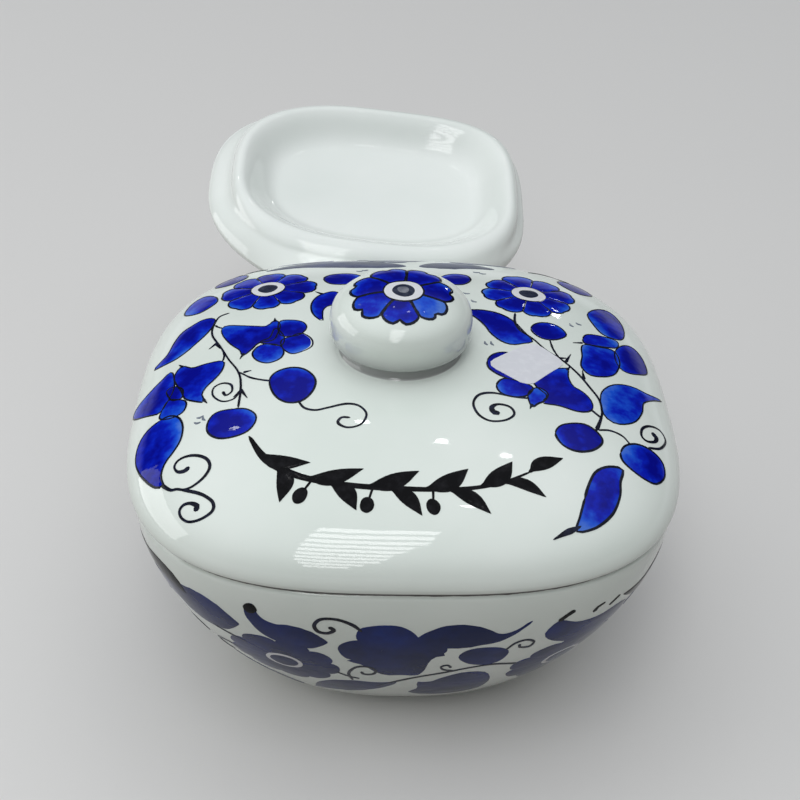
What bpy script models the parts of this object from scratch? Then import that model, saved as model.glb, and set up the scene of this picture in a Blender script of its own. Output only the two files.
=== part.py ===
# Covered olive dish in glazed earthenware, in metres with +Z up.
# A rounded-square bowl stands on a foot ring. Its domed lid drops in on a locating flange and lifts off by a
# ball knob. A small plain pit dish is luted to the bowl's back wall, a little tilted towards the front.
# The origin is under the middle of the whole piece, on the table.

import math

import bmesh
import bpy
from mathutils import Vector

# Fits
SEAT_GAP = 0.0003
FLANGE_CLEARANCE = 0.0012
LID_PATH_CLEARANCE = 0.0010

# Plan shape: the power of a superellipse, 2 for a round and more for a squarer outline
BODY_POWER = 3.0
FOOT_POWER = 2.3
CROWN_POWER = 2.0

# Bowl
BOWL_HALF_WIDTH = 0.0690
BOWL_HEIGHT = 0.0650
BOWL_WALL = 0.0050
BOWL_FLOOR = 0.0060
BOWL_LOWER_SWELL = 0.0125
BOWL_LOWER_LIFT = 0.0078
BOWL_UPRIGHT = 0.0205
FOOT_HALF_WIDTH = 0.0370
FOOT_HEIGHT = 0.0022
FOOT_RING_WIDTH = 0.0055
FOOT_RECESS = 0.0020
RIM_ROUND = 0.0013

# Lid
LID_OVERHANG = 0.0010
LID_RISE = 0.0225
LID_SHOULDER_LIFT = 0.0080
LID_SHOULDER_INSET = 0.0084
LID_WALL = 0.0045
LID_EDGE_ROUND = 0.0012
FLANGE_DEPTH = 0.0070
FLANGE_WALL = 0.0040
FLANGE_ROUND = 0.0012

# Knob
KNOB_RADIUS = 0.0180
KNOB_HEIGHT = 0.0173
KNOB_WIDEST = 0.0078
KNOB_POWER = 2.6
KNOB_NECK_INSET = 0.0023
KNOB_NECK_HEIGHT = 0.0022
KNOB_NECK_FLARE = 0.0009
KNOB_SIDE_OFFSET = -0.0012

# Pit dish
DISH_HALF_WIDTH = 0.0466
DISH_HALF_DEPTH = 0.0374
DISH_POWER = 2.6
DISH_CORNER_POWER = 1.0
DISH_HEIGHT = 0.0160
DISH_RIM_WIDTH = 0.0056
DISH_RIM_GROOVE = 0.0032
DISH_BELLY = 0.0049
DISH_BELLY_LEAN = -0.0022
DISH_BELLY_DROP = 0.0090
DISH_WALL_RUN = 0.0104
DISH_FLOOR = 0.0080
DISH_FOOT_INSET = 0.0142
DISH_LUTE_BITE = 0.0055
DISH_NOSE_POWER = 4.0
DISH_SIDE_OFFSET = -0.0074
DISH_RIM_STANDOFF = 0.0090
DISH_RIM_LIFT = 0.0070
DISH_CREST_TURN = 125
DISH_TILT = math.radians(12.0)
DISH_ROLL = math.radians(6.0)

# Facets
BODY_SIDES = 64
KNOB_SIDES = 40
DISH_SIDES = 52
BALL_STEPS = 12
WALL_STEPS = 12
NECK_STEPS = 4
SWELL_STEPS = 6
DISH_STEPS = 6
ROUND_STEPS = 3
SHARP_ANGLE = math.radians(40)

# Glaze
GLAZE = (0.84, 0.87, 0.85, 1.0)
PLAIN_GLAZE = (0.88, 0.90, 0.89, 1.0)
GLOSS_ROUGHNESS = 0.12

LID_HALF_WIDTH = BOWL_HALF_WIDTH + LID_OVERHANG
LID_SEAT = BOWL_HEIGHT + SEAT_GAP
LID_TOP = LID_SEAT + LID_RISE
FLANGE_HALF_WIDTH = BOWL_HALF_WIDTH - BOWL_WALL - FLANGE_CLEARANCE
KNOB_NECK_RADIUS = KNOB_RADIUS - KNOB_NECK_INSET
DISH_NOSE_REACH = DISH_RIM_STANDOFF + LID_OVERHANG - DISH_BELLY + DISH_LUTE_BITE


def bezier(start, pull_a, pull_b, end, steps):
    """Points (reach, height) on a cubic curve, both ends included."""
    points = []
    for i in range(steps + 1):
        t = i / steps
        u = 1 - t
        weights = (u**3, 3 * u * u * t, 3 * u * t * t, t**3)
        corners = (start, pull_a, pull_b, end)
        points.append(tuple(sum(w * c[k] for w, c in zip(weights, corners)) for k in (0, 1)))
    return points


def arc(centre, radius, start_degrees, end_degrees, steps=ROUND_STEPS):
    """Points (reach, height) round a small edge, both ends included."""
    points = []
    for i in range(steps + 1):
        angle = math.radians(start_degrees + (end_degrees - start_degrees) * i / steps)
        points.append((centre[0] + radius * math.cos(angle), centre[1] + radius * math.sin(angle)))
    return points


def offset(profile, distance):
    """The profile moved sideways, to the right of the way it runs when the distance is positive."""
    moved = []
    for i, (reach, height) in enumerate(profile):
        before = profile[max(i - 1, 0)]
        after = profile[min(i + 1, len(profile) - 1)]
        run = Vector((after[0] - before[0], after[1] - before[1])).normalized()
        moved.append((reach + run.y * distance, height - run.x * distance))
    return moved


def outline(half_x, half_y, power, height, sides, corner_power=0.0):
    """A level superellipse as a list of points. The corner power squares off its back right corner."""
    points = []
    for i in range(sides):
        angle = 2 * math.pi * i / sides
        here = power + corner_power * max(math.cos(angle - math.pi / 4), 0.0) ** 2
        c = abs(math.cos(angle) / half_x) ** here
        s = abs(math.sin(angle) / half_y) ** here
        radius = (c + s) ** (-1 / here)
        points.append((radius * math.cos(angle), radius * math.sin(angle), height))
    return points


def loft(name, outlines):
    """One closed mesh skinned over the outlines, with its first and last outline filled flat."""
    shape = bmesh.new()
    rings = [[shape.verts.new(point) for point in points] for points in outlines]
    for lower, upper in zip(rings, rings[1:]):
        for a, b, c, d in zip(lower, lower[1:] + lower[:1], upper[1:] + upper[:1], upper):
            shape.faces.new((a, b, c, d))
    shape.faces.new(rings[0])
    shape.faces.new(rings[-1])
    bmesh.ops.recalc_face_normals(shape, faces=shape.faces)
    mesh = bpy.data.meshes.new(name)
    shape.to_mesh(mesh)
    shape.free()
    mesh.shade_smooth()
    mesh.set_sharp_from_angle(angle=SHARP_ANGLE)
    piece = bpy.data.objects.new(name, mesh)
    bpy.context.scene.collection.objects.link(piece)
    return piece


def glaze(piece, colour):
    material = bpy.data.materials.new(piece.name)
    material.use_nodes = True
    shader = material.node_tree.nodes["Principled BSDF"]
    shader.inputs["Base Color"].default_value = colour
    shader.inputs["Roughness"].default_value = GLOSS_ROUGHNESS
    shader.inputs["Metallic"].default_value = 0.0
    material.diffuse_color = colour
    piece.data.materials.append(material)


def cut(piece, cutter):
    cutter.hide_render = True
    cutter.display_type = "WIRE"
    trim = piece.modifiers.new("trim_" + cutter.name, "BOOLEAN")
    trim.operation = "DIFFERENCE"
    trim.object = cutter
    trim.solver = "EXACT"


def blend(low, high, share):
    return low + (high - low) * share


def body_outline(reach, height):
    """The bowl's plan turns from nearly round at the foot to a rounded square at the rim."""
    share = (reach - FOOT_HALF_WIDTH) / (BOWL_HALF_WIDTH - FOOT_HALF_WIDTH)
    power = blend(FOOT_POWER, BODY_POWER, min(max(share, 0.0), 1.0))
    return outline(reach, reach, power, height, BODY_SIDES)


def lid_outline(reach, height):
    """The lid's plan turns from the rounded square at its edge to a round at the crown."""
    share = min(reach / LID_HALF_WIDTH, 1.0)
    return outline(reach, reach, blend(CROWN_POWER, BODY_POWER, share), height, BODY_SIDES)


def bowl_wall_profile():
    """The bowl's outer wall, from the top of the foot ring up to the start of the rim's rounding."""
    start = (FOOT_HALF_WIDTH + RIM_ROUND, FOOT_HEIGHT)
    low_pull = (start[0] + BOWL_LOWER_SWELL, FOOT_HEIGHT + BOWL_LOWER_LIFT)
    high_pull = (BOWL_HALF_WIDTH, BOWL_HEIGHT - BOWL_UPRIGHT)
    return bezier(start, low_pull, high_pull, (BOWL_HALF_WIDTH, BOWL_HEIGHT - RIM_ROUND), WALL_STEPS)


def make_bowl():
    foot_inside = FOOT_HALF_WIDTH - FOOT_RING_WIDTH
    foot_round = FOOT_RING_WIDTH / 4
    floor_top = FOOT_RECESS + BOWL_FLOOR
    recess = [(foot_inside - foot_round, FOOT_RECESS), (foot_inside, FOOT_RECESS - foot_round / 2)]
    ring_inner_edge = arc((foot_inside + foot_round, foot_round), foot_round, 180, 270)
    ring_outer_edge = arc((FOOT_HALF_WIDTH - foot_round, foot_round), foot_round, 270, 360)
    wall = bowl_wall_profile()
    rim_outer_edge = arc((BOWL_HALF_WIDTH - RIM_ROUND, BOWL_HEIGHT - RIM_ROUND), RIM_ROUND, 0, 90)
    mouth = BOWL_HALF_WIDTH - BOWL_WALL
    rim_inner_edge = arc((mouth + RIM_ROUND, BOWL_HEIGHT - RIM_ROUND), RIM_ROUND, 90, 180)
    inside = [point for point in reversed(offset(wall, -BOWL_WALL)) if point[1] > floor_top + RIM_ROUND]
    floor_edge = (inside[-1][0] - BOWL_WALL, floor_top)
    profile = recess + ring_inner_edge + ring_outer_edge + wall + rim_outer_edge[1:]
    profile += rim_inner_edge + inside[1:] + [floor_edge]
    bowl = loft("bowl", [body_outline(*point) for point in profile])
    glaze(bowl, GLAZE)
    return bowl


def lid_dome_profile():
    """The lid's outer face, from just above its edge rounding up to the crown."""
    start = (LID_HALF_WIDTH, LID_SEAT + LID_EDGE_ROUND)
    low_pull = (LID_HALF_WIDTH, LID_SEAT + LID_SHOULDER_LIFT)
    high_pull = (LID_HALF_WIDTH - LID_SHOULDER_INSET, LID_TOP)
    return bezier(start, low_pull, high_pull, (0.0, LID_TOP), WALL_STEPS + 2)


def make_lid():
    dome = lid_dome_profile()
    edge = arc((LID_HALF_WIDTH - LID_EDGE_ROUND, LID_SEAT + LID_EDGE_ROUND), LID_EDGE_ROUND, 0, -90)
    bottom = LID_SEAT - FLANGE_DEPTH
    flange_inside = FLANGE_HALF_WIDTH - FLANGE_WALL
    root = [(FLANGE_HALF_WIDTH + FLANGE_ROUND / 2, LID_SEAT), (FLANGE_HALF_WIDTH, LID_SEAT - FLANGE_ROUND / 2)]
    outer_lip = arc((FLANGE_HALF_WIDTH - FLANGE_ROUND, bottom + FLANGE_ROUND), FLANGE_ROUND, 0, -90)
    inner_lip = arc((flange_inside + FLANGE_ROUND, bottom + FLANGE_ROUND), FLANGE_ROUND, 270, 180)
    under = [point for point in offset(dome, -LID_WALL) if 0 < point[0] < flange_inside]
    profile = list(reversed(dome[:-1])) + edge[1:] + root + outer_lip + inner_lip + under
    lid = loft("lid", [lid_outline(*point) for point in profile])
    glaze(lid, GLAZE)
    return lid


def make_lid_core():
    """The space that the lid's outer face takes, grown by the seat gap, which shapes the knob's foot."""
    skin = offset(lid_dome_profile(), SEAT_GAP)[:-1]
    return loft("lid_core", [lid_outline(*point) for point in skin])


def make_knob(lid_core):
    """A squat ball, undercut to a short neck whose flared foot follows the crown of the lid."""
    flare = (KNOB_NECK_RADIUS + KNOB_NECK_FLARE, 0.0)
    neck_end = (KNOB_NECK_RADIUS, KNOB_NECK_HEIGHT)
    neck_pull = (KNOB_NECK_RADIUS, KNOB_NECK_HEIGHT / 2)
    neck = bezier(flare, (KNOB_NECK_RADIUS, 0.0), neck_pull, neck_end, NECK_STEPS)
    low_pull = (KNOB_RADIUS, blend(KNOB_NECK_HEIGHT, KNOB_WIDEST, 0.06))
    high_pull = (KNOB_RADIUS, blend(KNOB_NECK_HEIGHT, KNOB_WIDEST, 0.50))
    swell = bezier(neck_end, low_pull, high_pull, (KNOB_RADIUS, KNOB_WIDEST), SWELL_STEPS)
    crown = []
    for i in range(1, BALL_STEPS):
        angle = math.pi / 2 * i / BALL_STEPS
        reach = KNOB_RADIUS * math.cos(angle) ** (2 / KNOB_POWER)
        crown.append((reach, blend(KNOB_WIDEST, KNOB_HEIGHT, math.sin(angle) ** (2 / KNOB_POWER))))
    profile = [(flare[0], -KNOB_NECK_FLARE)] + neck + swell[1:] + crown
    knob = loft("knob", [outline(reach, reach, CROWN_POWER, height, KNOB_SIDES) for reach, height in profile])
    knob.location = (KNOB_SIDE_OFFSET, 0.0, LID_TOP)
    cut(knob, lid_core)
    glaze(knob, GLAZE)
    return knob


def make_bowl_core():
    """The space of the bowl, grown by the seat gap, and of the lifting lid: it shapes the dish's luted side."""
    skin = offset(bowl_wall_profile(), SEAT_GAP)
    path_reach = LID_HALF_WIDTH + LID_PATH_CLEARANCE
    path_start = BOWL_HEIGHT - LID_PATH_CLEARANCE
    skin += [(BOWL_HALF_WIDTH + SEAT_GAP, path_start), (path_reach, path_start), (path_reach, LID_TOP)]
    return loft("bowl_core", [body_outline(*point) for point in skin])


def dish_outline(growth, height, belly_share=0.0):
    """An outline of the pit dish, grown past the rim. Its belly leans sideways and has a nose at the bowl."""
    points = []
    half_x, half_y = DISH_HALF_WIDTH + growth, DISH_HALF_DEPTH + growth
    for x, y, z in outline(half_x, half_y, DISH_POWER, height, DISH_SIDES, DISH_CORNER_POWER):
        nearness = max(-y / math.hypot(x, y), 0.0) ** DISH_NOSE_POWER
        points.append((x + DISH_BELLY_LEAN * belly_share, y - DISH_NOSE_REACH * belly_share * nearness, z))
    return points


def make_dish(bowl_core):
    """A shallow dish with a rounded rim, a groove under it and a fuller belly, which is luted to the bowl."""
    rim_round = DISH_RIM_WIDTH / 2
    belly_middle = (DISH_HEIGHT + DISH_BELLY_DROP) / 2
    shoulder_middle = (DISH_BELLY_DROP + DISH_RIM_GROOVE) / 2
    floor_top = DISH_FLOOR - DISH_HEIGHT
    inner_edge = -DISH_RIM_WIDTH
    foot = (-DISH_FOOT_INSET, -DISH_HEIGHT)
    widest = (DISH_BELLY, -DISH_BELLY_DROP)
    groove = (0.0, -DISH_RIM_GROOVE)
    floor_edge = (inner_edge - DISH_WALL_RUN, floor_top)
    wall_foot = (inner_edge - DISH_WALL_RUN / 2, floor_top)
    belly = bezier(foot, (0.0, -DISH_HEIGHT), (DISH_BELLY, -belly_middle), widest, DISH_STEPS)
    shoulder = bezier(widest, (DISH_BELLY, -shoulder_middle), (0.0, -shoulder_middle), groove, DISH_STEPS)
    crest = arc((-rim_round, -rim_round), rim_round, 0, DISH_CREST_TURN, DISH_STEPS)
    wall_pull = (inner_edge - DISH_WALL_RUN / 6, floor_top / 2)
    inside = bezier(crest[-1], wall_pull, wall_foot, floor_edge, DISH_STEPS)
    outlines = []
    for growth, height in belly + shoulder[1:]:
        belly_share = min(max((-height - DISH_RIM_GROOVE) / (DISH_BELLY_DROP - DISH_RIM_GROOVE), 0.0), 1.0)
        outlines.append(dish_outline(growth, height, belly_share))
    outlines += [dish_outline(growth, height) for growth, height in crest + inside[1:]]
    dish = loft("pit_dish", outlines)
    near_rim_y = LID_HALF_WIDTH + DISH_RIM_STANDOFF
    near_rim_z = BOWL_HEIGHT + DISH_RIM_LIFT
    dish.location = (
        DISH_SIDE_OFFSET,
        near_rim_y + DISH_HALF_DEPTH * math.cos(DISH_TILT),
        near_rim_z + DISH_HALF_DEPTH * math.sin(DISH_TILT),
    )
    dish.rotation_euler = (DISH_TILT, DISH_ROLL, 0.0)
    cut(dish, bowl_core)
    glaze(dish, PLAIN_GLAZE)
    return dish


def footprint_middle(pieces):
    """The middle of the box round the finished pieces, seen from above."""
    bpy.context.view_layer.update()
    graph = bpy.context.evaluated_depsgraph_get()
    corners = []
    for piece in pieces:
        finished = piece.evaluated_get(graph)
        corners += [finished.matrix_world @ Vector(corner) for corner in finished.bound_box]
    low = [min(corner[k] for corner in corners) for k in (0, 1)]
    high = [max(corner[k] for corner in corners) for k in (0, 1)]
    return [(a + b) / 2 for a, b in zip(low, high)]


def main():
    for old in list(bpy.data.objects):
        bpy.data.objects.remove(old)
    lid_core = make_lid_core()
    bowl_core = make_bowl_core()
    bowl = make_bowl()
    lid = make_lid()
    knob = make_knob(lid_core)
    dish = make_dish(bowl_core)
    middle_x, middle_y = footprint_middle([bowl, lid, knob, dish])
    whole = bpy.data.objects.new("covered_dish", None)
    bpy.context.scene.collection.objects.link(whole)
    for piece in (bowl, dish, lid, bowl_core, lid_core):
        piece.parent = whole
    knob.parent = lid
    whole.location = (-middle_x, -middle_y, 0.0)


main()
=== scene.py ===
import math

import bpy
import numpy as np
from mathutils import Matrix, Vector


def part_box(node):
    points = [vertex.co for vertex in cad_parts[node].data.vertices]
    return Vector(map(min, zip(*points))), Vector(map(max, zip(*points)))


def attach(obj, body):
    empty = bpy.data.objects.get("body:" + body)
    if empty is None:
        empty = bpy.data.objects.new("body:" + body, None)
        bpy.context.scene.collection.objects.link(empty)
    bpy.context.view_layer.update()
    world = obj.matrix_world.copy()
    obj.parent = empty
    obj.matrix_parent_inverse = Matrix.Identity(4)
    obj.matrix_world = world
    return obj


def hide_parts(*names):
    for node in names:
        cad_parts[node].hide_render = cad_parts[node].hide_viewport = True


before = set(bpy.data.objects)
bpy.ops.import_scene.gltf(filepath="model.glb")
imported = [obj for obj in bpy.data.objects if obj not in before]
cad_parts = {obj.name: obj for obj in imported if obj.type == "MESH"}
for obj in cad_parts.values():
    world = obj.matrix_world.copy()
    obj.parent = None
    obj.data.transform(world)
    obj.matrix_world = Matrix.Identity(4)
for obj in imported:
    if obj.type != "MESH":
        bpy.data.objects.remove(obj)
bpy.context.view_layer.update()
mm = 0.001
chance = np.random.default_rng(11)

# the pot's middle line, where everything below is measured from, in mm above the table
bowlLow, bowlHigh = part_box("bowl")
potX = (bowlLow.x + bowlHigh.x) / 2
potY = (bowlLow.y + bowlHigh.y) / 2


# camera first, so the view is settled

view = {
    "tilt": 34.75,      # degrees down
    "away": 379.0,      # mm from the aim point
    "aimHeight": 71.0,
    "turn": 1.62,       # degrees the pot is turned
    "roll": 1.7,
    "lens": 65.1,
    "shift": -0.0044,
}


def setCamera(v):
    tilt, turn, roll = (math.radians(v[k]) for k in ("tilt", "turn", "roll"))
    place = Vector((0, -v["away"] * math.cos(tilt), v["away"] * math.sin(tilt) + v["aimHeight"])) * mm
    right, ahead = Vector((1, 0, 0)), Vector((0, math.cos(tilt), -math.sin(tilt)))
    up = right.cross(ahead)
    rollRight = right * math.cos(roll) + up * math.sin(roll)
    rollUp = up * math.cos(roll) - right * math.sin(roll)
    unturn = Matrix.Rotation(-turn, 3, "Z")
    axes = Matrix((unturn @ rollRight, unturn @ rollUp, unturn @ -ahead)).transposed()
    bpy.ops.object.camera_add(location=unturn @ place + Vector((potX, potY, 0)))
    camera = bpy.context.active_object
    camera.name = "photoCamera"
    camera.rotation_euler = axes.to_euler()
    camera.data.lens = v["lens"]
    camera.data.sensor_width = 36
    camera.data.shift_x = v["shift"]
    camera.data.clip_start, camera.data.clip_end = 0.01, 20
    bpy.context.scene.camera = camera


setCamera(view)
print("camera set")


# small helpers

def deselect():
    bpy.ops.object.select_all(action="DESELECT")


def onlySelect(piece):
    deselect()
    piece.select_set(True)
    bpy.context.view_layer.objects.active = piece


def bend(a, b, c, d, steps):
    t = np.linspace(0, 1, steps + 1)[:, None]
    a, b, c, d = (np.array(p, float) for p in (a, b, c, d))
    return (1 - t) ** 3 * a + 3 * (1 - t) ** 2 * t * b + 3 * (1 - t) * t * t * c + t ** 3 * d


def roundEdge(middle, radius, fromDegrees, toDegrees, steps=5):
    t = np.radians(np.linspace(fromDegrees, toDegrees, steps + 1))
    return np.stack([middle[0] + radius * np.cos(t), middle[1] + radius * np.sin(t)], 1)


def unit(vectors):
    return vectors / np.maximum(np.linalg.norm(vectors, axis=1), 1e-6)[:, None]


def sidestep(line, gap):
    run = unit(np.gradient(line, axis=0))
    return line + np.stack([run[:, 1], -run[:, 0]], 1) * gap


def alongLine(line):
    # how far each point of a flat line lies from its start
    return np.concatenate([[0], np.cumsum(np.hypot(*np.diff(line, axis=0).T))])


def soften(share):
    return share * share * (3 - 2 * share)


def polar(co):
    return np.hypot(co[:, 0], co[:, 1]), np.arctan2(co[:, 1], co[:, 0])


def readPlaces(mesh):
    co = np.empty(len(mesh.vertices) * 3, np.float32)
    mesh.vertices.foreach_get("co", co)
    return co.reshape(-1, 3).astype(float)


def writePlaces(mesh, co):
    mesh.vertices.foreach_set("co", np.asarray(co, np.float32).ravel())
    mesh.update()


def inPlace(co):
    # from mm round the pot's middle line to metres in the frame
    return co * mm + np.array([potX, potY, 0])


def squareRadius(angle, power):
    # how far a rounded square reaches at this angle, for a half width of 1
    return (np.abs(np.cos(angle)) ** power + np.abs(np.sin(angle)) ** power) ** (-1 / power)


# the thrown and moulded clay: profiles are drawn in mm as (reach, height)

bowlForm = {
    "halfWidth": 69.0, "height": 65.0, "wall": 5.0, "floor": 6.0,
    "lowerSwell": 12.5, "lowerLift": 7.8, "upright": 20.5,
    "footHalf": 37.0, "footHeight": 2.2, "footRing": 5.5, "footRecess": 2.0, "rimRound": 1.5,
    "footPower": 2.3, "rimPower": 3.0, "around": 208,
}
lidForm = {
    "halfWidth": 70.0, "seat": 65.3, "rise": 22.5, "shoulderLift": 8.0, "shoulderInset": 8.4,
    "wall": 4.5, "edgeRound": 2.1, "flangeHalf": 62.8, "flangeDepth": 7.0, "flangeWall": 4.0,
    "flangeRound": 1.2, "crownPower": 2.0, "edgePower": 3.0, "crownReach": 34, "crownFade": 14, "around": 208,
}
knobForm = {
    "radius": 18.0, "height": 17.0, "widest": 7.8, "power": 2.6, "neck": 15.0, "neckHeight": 2.6,
    "underLow": 0.06, "underHigh": 0.38, "spread": 15.9, "side": -1.2, "sideFrom": -3.0,
    "roundFrom": -0.6, "mostSquare": 2.5,
}
lidTop = lidForm["seat"] + lidForm["rise"]


def spinProfile(name, line, around):
    # the half section is drawn point by point and spun round the middle line
    deselect()
    bpy.ops.mesh.primitive_plane_add(size=1, location=(0, 0, 0))
    piece = bpy.context.active_object
    piece.name = piece.data.name = name
    bpy.ops.object.mode_set(mode="EDIT")
    bpy.ops.mesh.select_all(action="SELECT")
    bpy.ops.mesh.merge(type="CENTER")
    bpy.ops.transform.translate(value=(line[0][0], 0, line[0][1]))
    for a, b in zip(line, line[1:]):
        step = (b[0] - a[0], 0, b[1] - a[1])
        bpy.ops.mesh.extrude_region_move(TRANSFORM_OT_translate={"value": step})
    bpy.ops.mesh.select_all(action="SELECT")
    bpy.ops.mesh.spin(steps=around, angle=2 * math.pi, center=(0, 0, 0), axis=(0, 0, 1))
    bpy.ops.mesh.select_all(action="SELECT")
    bpy.ops.mesh.remove_doubles(threshold=0.01)
    bpy.ops.mesh.normals_make_consistent(inside=False)
    bpy.ops.object.mode_set(mode="OBJECT")
    return piece


def squareUp(piece, powerAt, sideAt=None):
    # the round form is pressed into its rounded square plan, and put in place in metres
    co = readPlaces(piece.data)
    reach, angle = polar(co)
    wide = reach * squareRadius(angle, powerAt(reach, co[:, 2]))
    side = sideAt(reach, co[:, 2]) if sideAt else 0.0
    co = np.stack([wide * np.cos(angle) + side, wide * np.sin(angle), co[:, 2]], 1)
    writePlaces(piece.data, inPlace(co))
    onlySelect(piece)
    bpy.ops.object.shade_smooth()
    return piece


def bowlPower(reach, height=0):
    f = bowlForm
    share = np.clip((reach - f["footHalf"]) / (f["halfWidth"] - f["footHalf"]), 0, 1)
    return f["footPower"] + (f["rimPower"] - f["footPower"]) * share


def nearCrown(reach):
    # 1 under the knob, and 0 further out
    return soften(np.clip((lidForm["crownReach"] - reach) / lidForm["crownFade"], 0, 1))


def lidPower(reach):
    f = lidForm
    share = np.clip(reach / f["halfWidth"], 0, 1)
    return f["crownPower"] + (f["edgePower"] - f["crownPower"]) * share * (1 - nearCrown(reach))


def bowlWall(steps):
    f = bowlForm
    half, top = f["halfWidth"], f["height"]
    start = (f["footHalf"] + f["rimRound"], f["footHeight"])
    return bend(start, (start[0] + f["lowerSwell"], start[1] + f["lowerLift"]),
                (half, top - f["upright"]), (half, top - f["rimRound"]), steps)


def domeLine(steps):
    f = lidForm
    half, seat = f["halfWidth"], f["seat"]
    return bend((half, seat + f["edgeRound"]), (half, seat + f["shoulderLift"]),
                (half - f["shoulderInset"], lidTop), (0.0, lidTop), steps)


def ballLine(steps):
    # the squat ball, from the top of its neck over its widest place to its crown
    f = knobForm
    low, wide, base, radius = f["neckHeight"], f["widest"], lidTop, f["radius"]
    swell = bend((f["neck"], base + low), (radius, base + low + f["underLow"] * (wide - low)),
                 (radius, base + low + f["underHigh"] * (wide - low)), (radius, base + wide), steps // 2)
    t = np.linspace(0, math.pi / 2, steps + 1)[1:]
    reach = radius * np.clip(np.cos(t), 0, 1) ** (2 / f["power"])
    crown = np.stack([reach, base + wide + (f["height"] - wide) * np.sin(t) ** (2 / f["power"])], 1)
    crown[-1, 0] = 0
    return np.concatenate([swell, crown])


def makeBowl():
    f = bowlForm
    inner, edge, floorTop = f["footHalf"] - f["footRing"], f["footRing"] / 4, f["footRecess"] + f["floor"]
    wall = bowlWall(56)
    r, h, w = f["rimRound"], f["height"], f["halfWidth"]
    inside = sidestep(wall, -f["wall"])[::-1]
    inside = inside[inside[:, 1] > floorTop + r]
    last = inside[-1]
    line = np.concatenate([
        [(0.0, f["footRecess"]), (inner / 2, f["footRecess"]), (inner - edge, f["footRecess"])],
        roundEdge((inner + edge, edge), edge, 180, 270),
        roundEdge((f["footHalf"] - edge, edge), edge, 270, 360),
        bend((f["footHalf"], edge + 0.3), (f["footHalf"], f["footHeight"] - 0.2),
             (f["footHalf"] + 0.6, f["footHeight"] - 0.2), (f["footHalf"] + r, f["footHeight"]), 4)[:-1],
        wall, roundEdge((w - r, h - r), r, 0, 90)[1:], roundEdge((w - f["wall"] + r, h - r), r, 90, 180),
        inside[1:],
        bend(last, (last[0] - 3, floorTop + 0.4), (last[0] - 8, floorTop), (last[0] - 14, floorTop), 8)[1:],
        [(0.0, floorTop)],
    ])
    return squareUp(spinProfile("bowlGlazed", line, f["around"]), bowlPower)


def makeLid():
    f, k = lidForm, knobForm
    dome = domeLine(72)
    edge = roundEdge((f["halfWidth"] - f["edgeRound"], f["seat"] + f["edgeRound"]), f["edgeRound"], 0, -90)
    low, inner, q = f["seat"] - f["flangeDepth"], f["flangeHalf"] - f["flangeWall"], f["flangeRound"]
    under = sidestep(dome, -f["wall"])
    under = under[under[:, 0] < inner - 0.5]
    ball = ballLine(40)
    foot = dome[dome[:, 0] > k["spread"]]
    start = foot[-1]
    fillet = bend(start, (start[0] - 0.5, start[1] + 0.02), (k["neck"], lidTop + 0.3), ball[0], 8)
    line = np.concatenate([
        [(0.0, under[-1][1])], under[::-1][1:],
        roundEdge((inner + q, low + q), q, 180, 270), roundEdge((f["flangeHalf"] - q, low + q), q, 270, 360),
        roundEdge((f["flangeHalf"] + 0.6, f["seat"] - 0.6), 0.6, 180, 90, 3), edge[::-1][1:],
        foot[1:], fillet[1:], ball[1:],
    ])

    def slide(reach, height):
        onTop = (height > lidTop + k["sideFrom"]) & (reach < f["crownReach"])
        return np.where(onTop, k["side"] * nearCrown(reach), 0)

    def power(reach, height):
        square = lidPower(reach)
        return np.where(height > lidTop + k["roundFrom"], np.minimum(square, k["mostSquare"]), square)

    return squareUp(spinProfile("lidGlazed", line, f["around"]), power, slide)


dishForm = {
    "halfWidth": 46.6, "halfDepth": 37.4, "power": 2.6, "cornerPower": 1.0, "height": 16.0, "rimWidth": 5.6,
    "groove": 3.2, "belly": 4.9, "bellyLean": -2.2, "bellyDrop": 9.0, "wallRun": 10.4, "floor": 8.0,
    "footInset": 14.2, "noseReach": 10.6, "nosePower": 4.0, "side": -7.4, "standoff": 8.9, "lift": 7.0,
    "crestTurn": 120, "crestSteps": 16, "tilt": 12.0, "roll": 6.0, "hub": 40.0, "around": 168,
    "frontFrom": 0.2, "frontFade": 0.6, "shoulderTurn": 50, "cornerAt": 45,
    "basinEase": (3.9, 2.25), "basinHold": 0.55, "lidRoom": 1.0, "wallRoom": 0.1,
}


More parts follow.
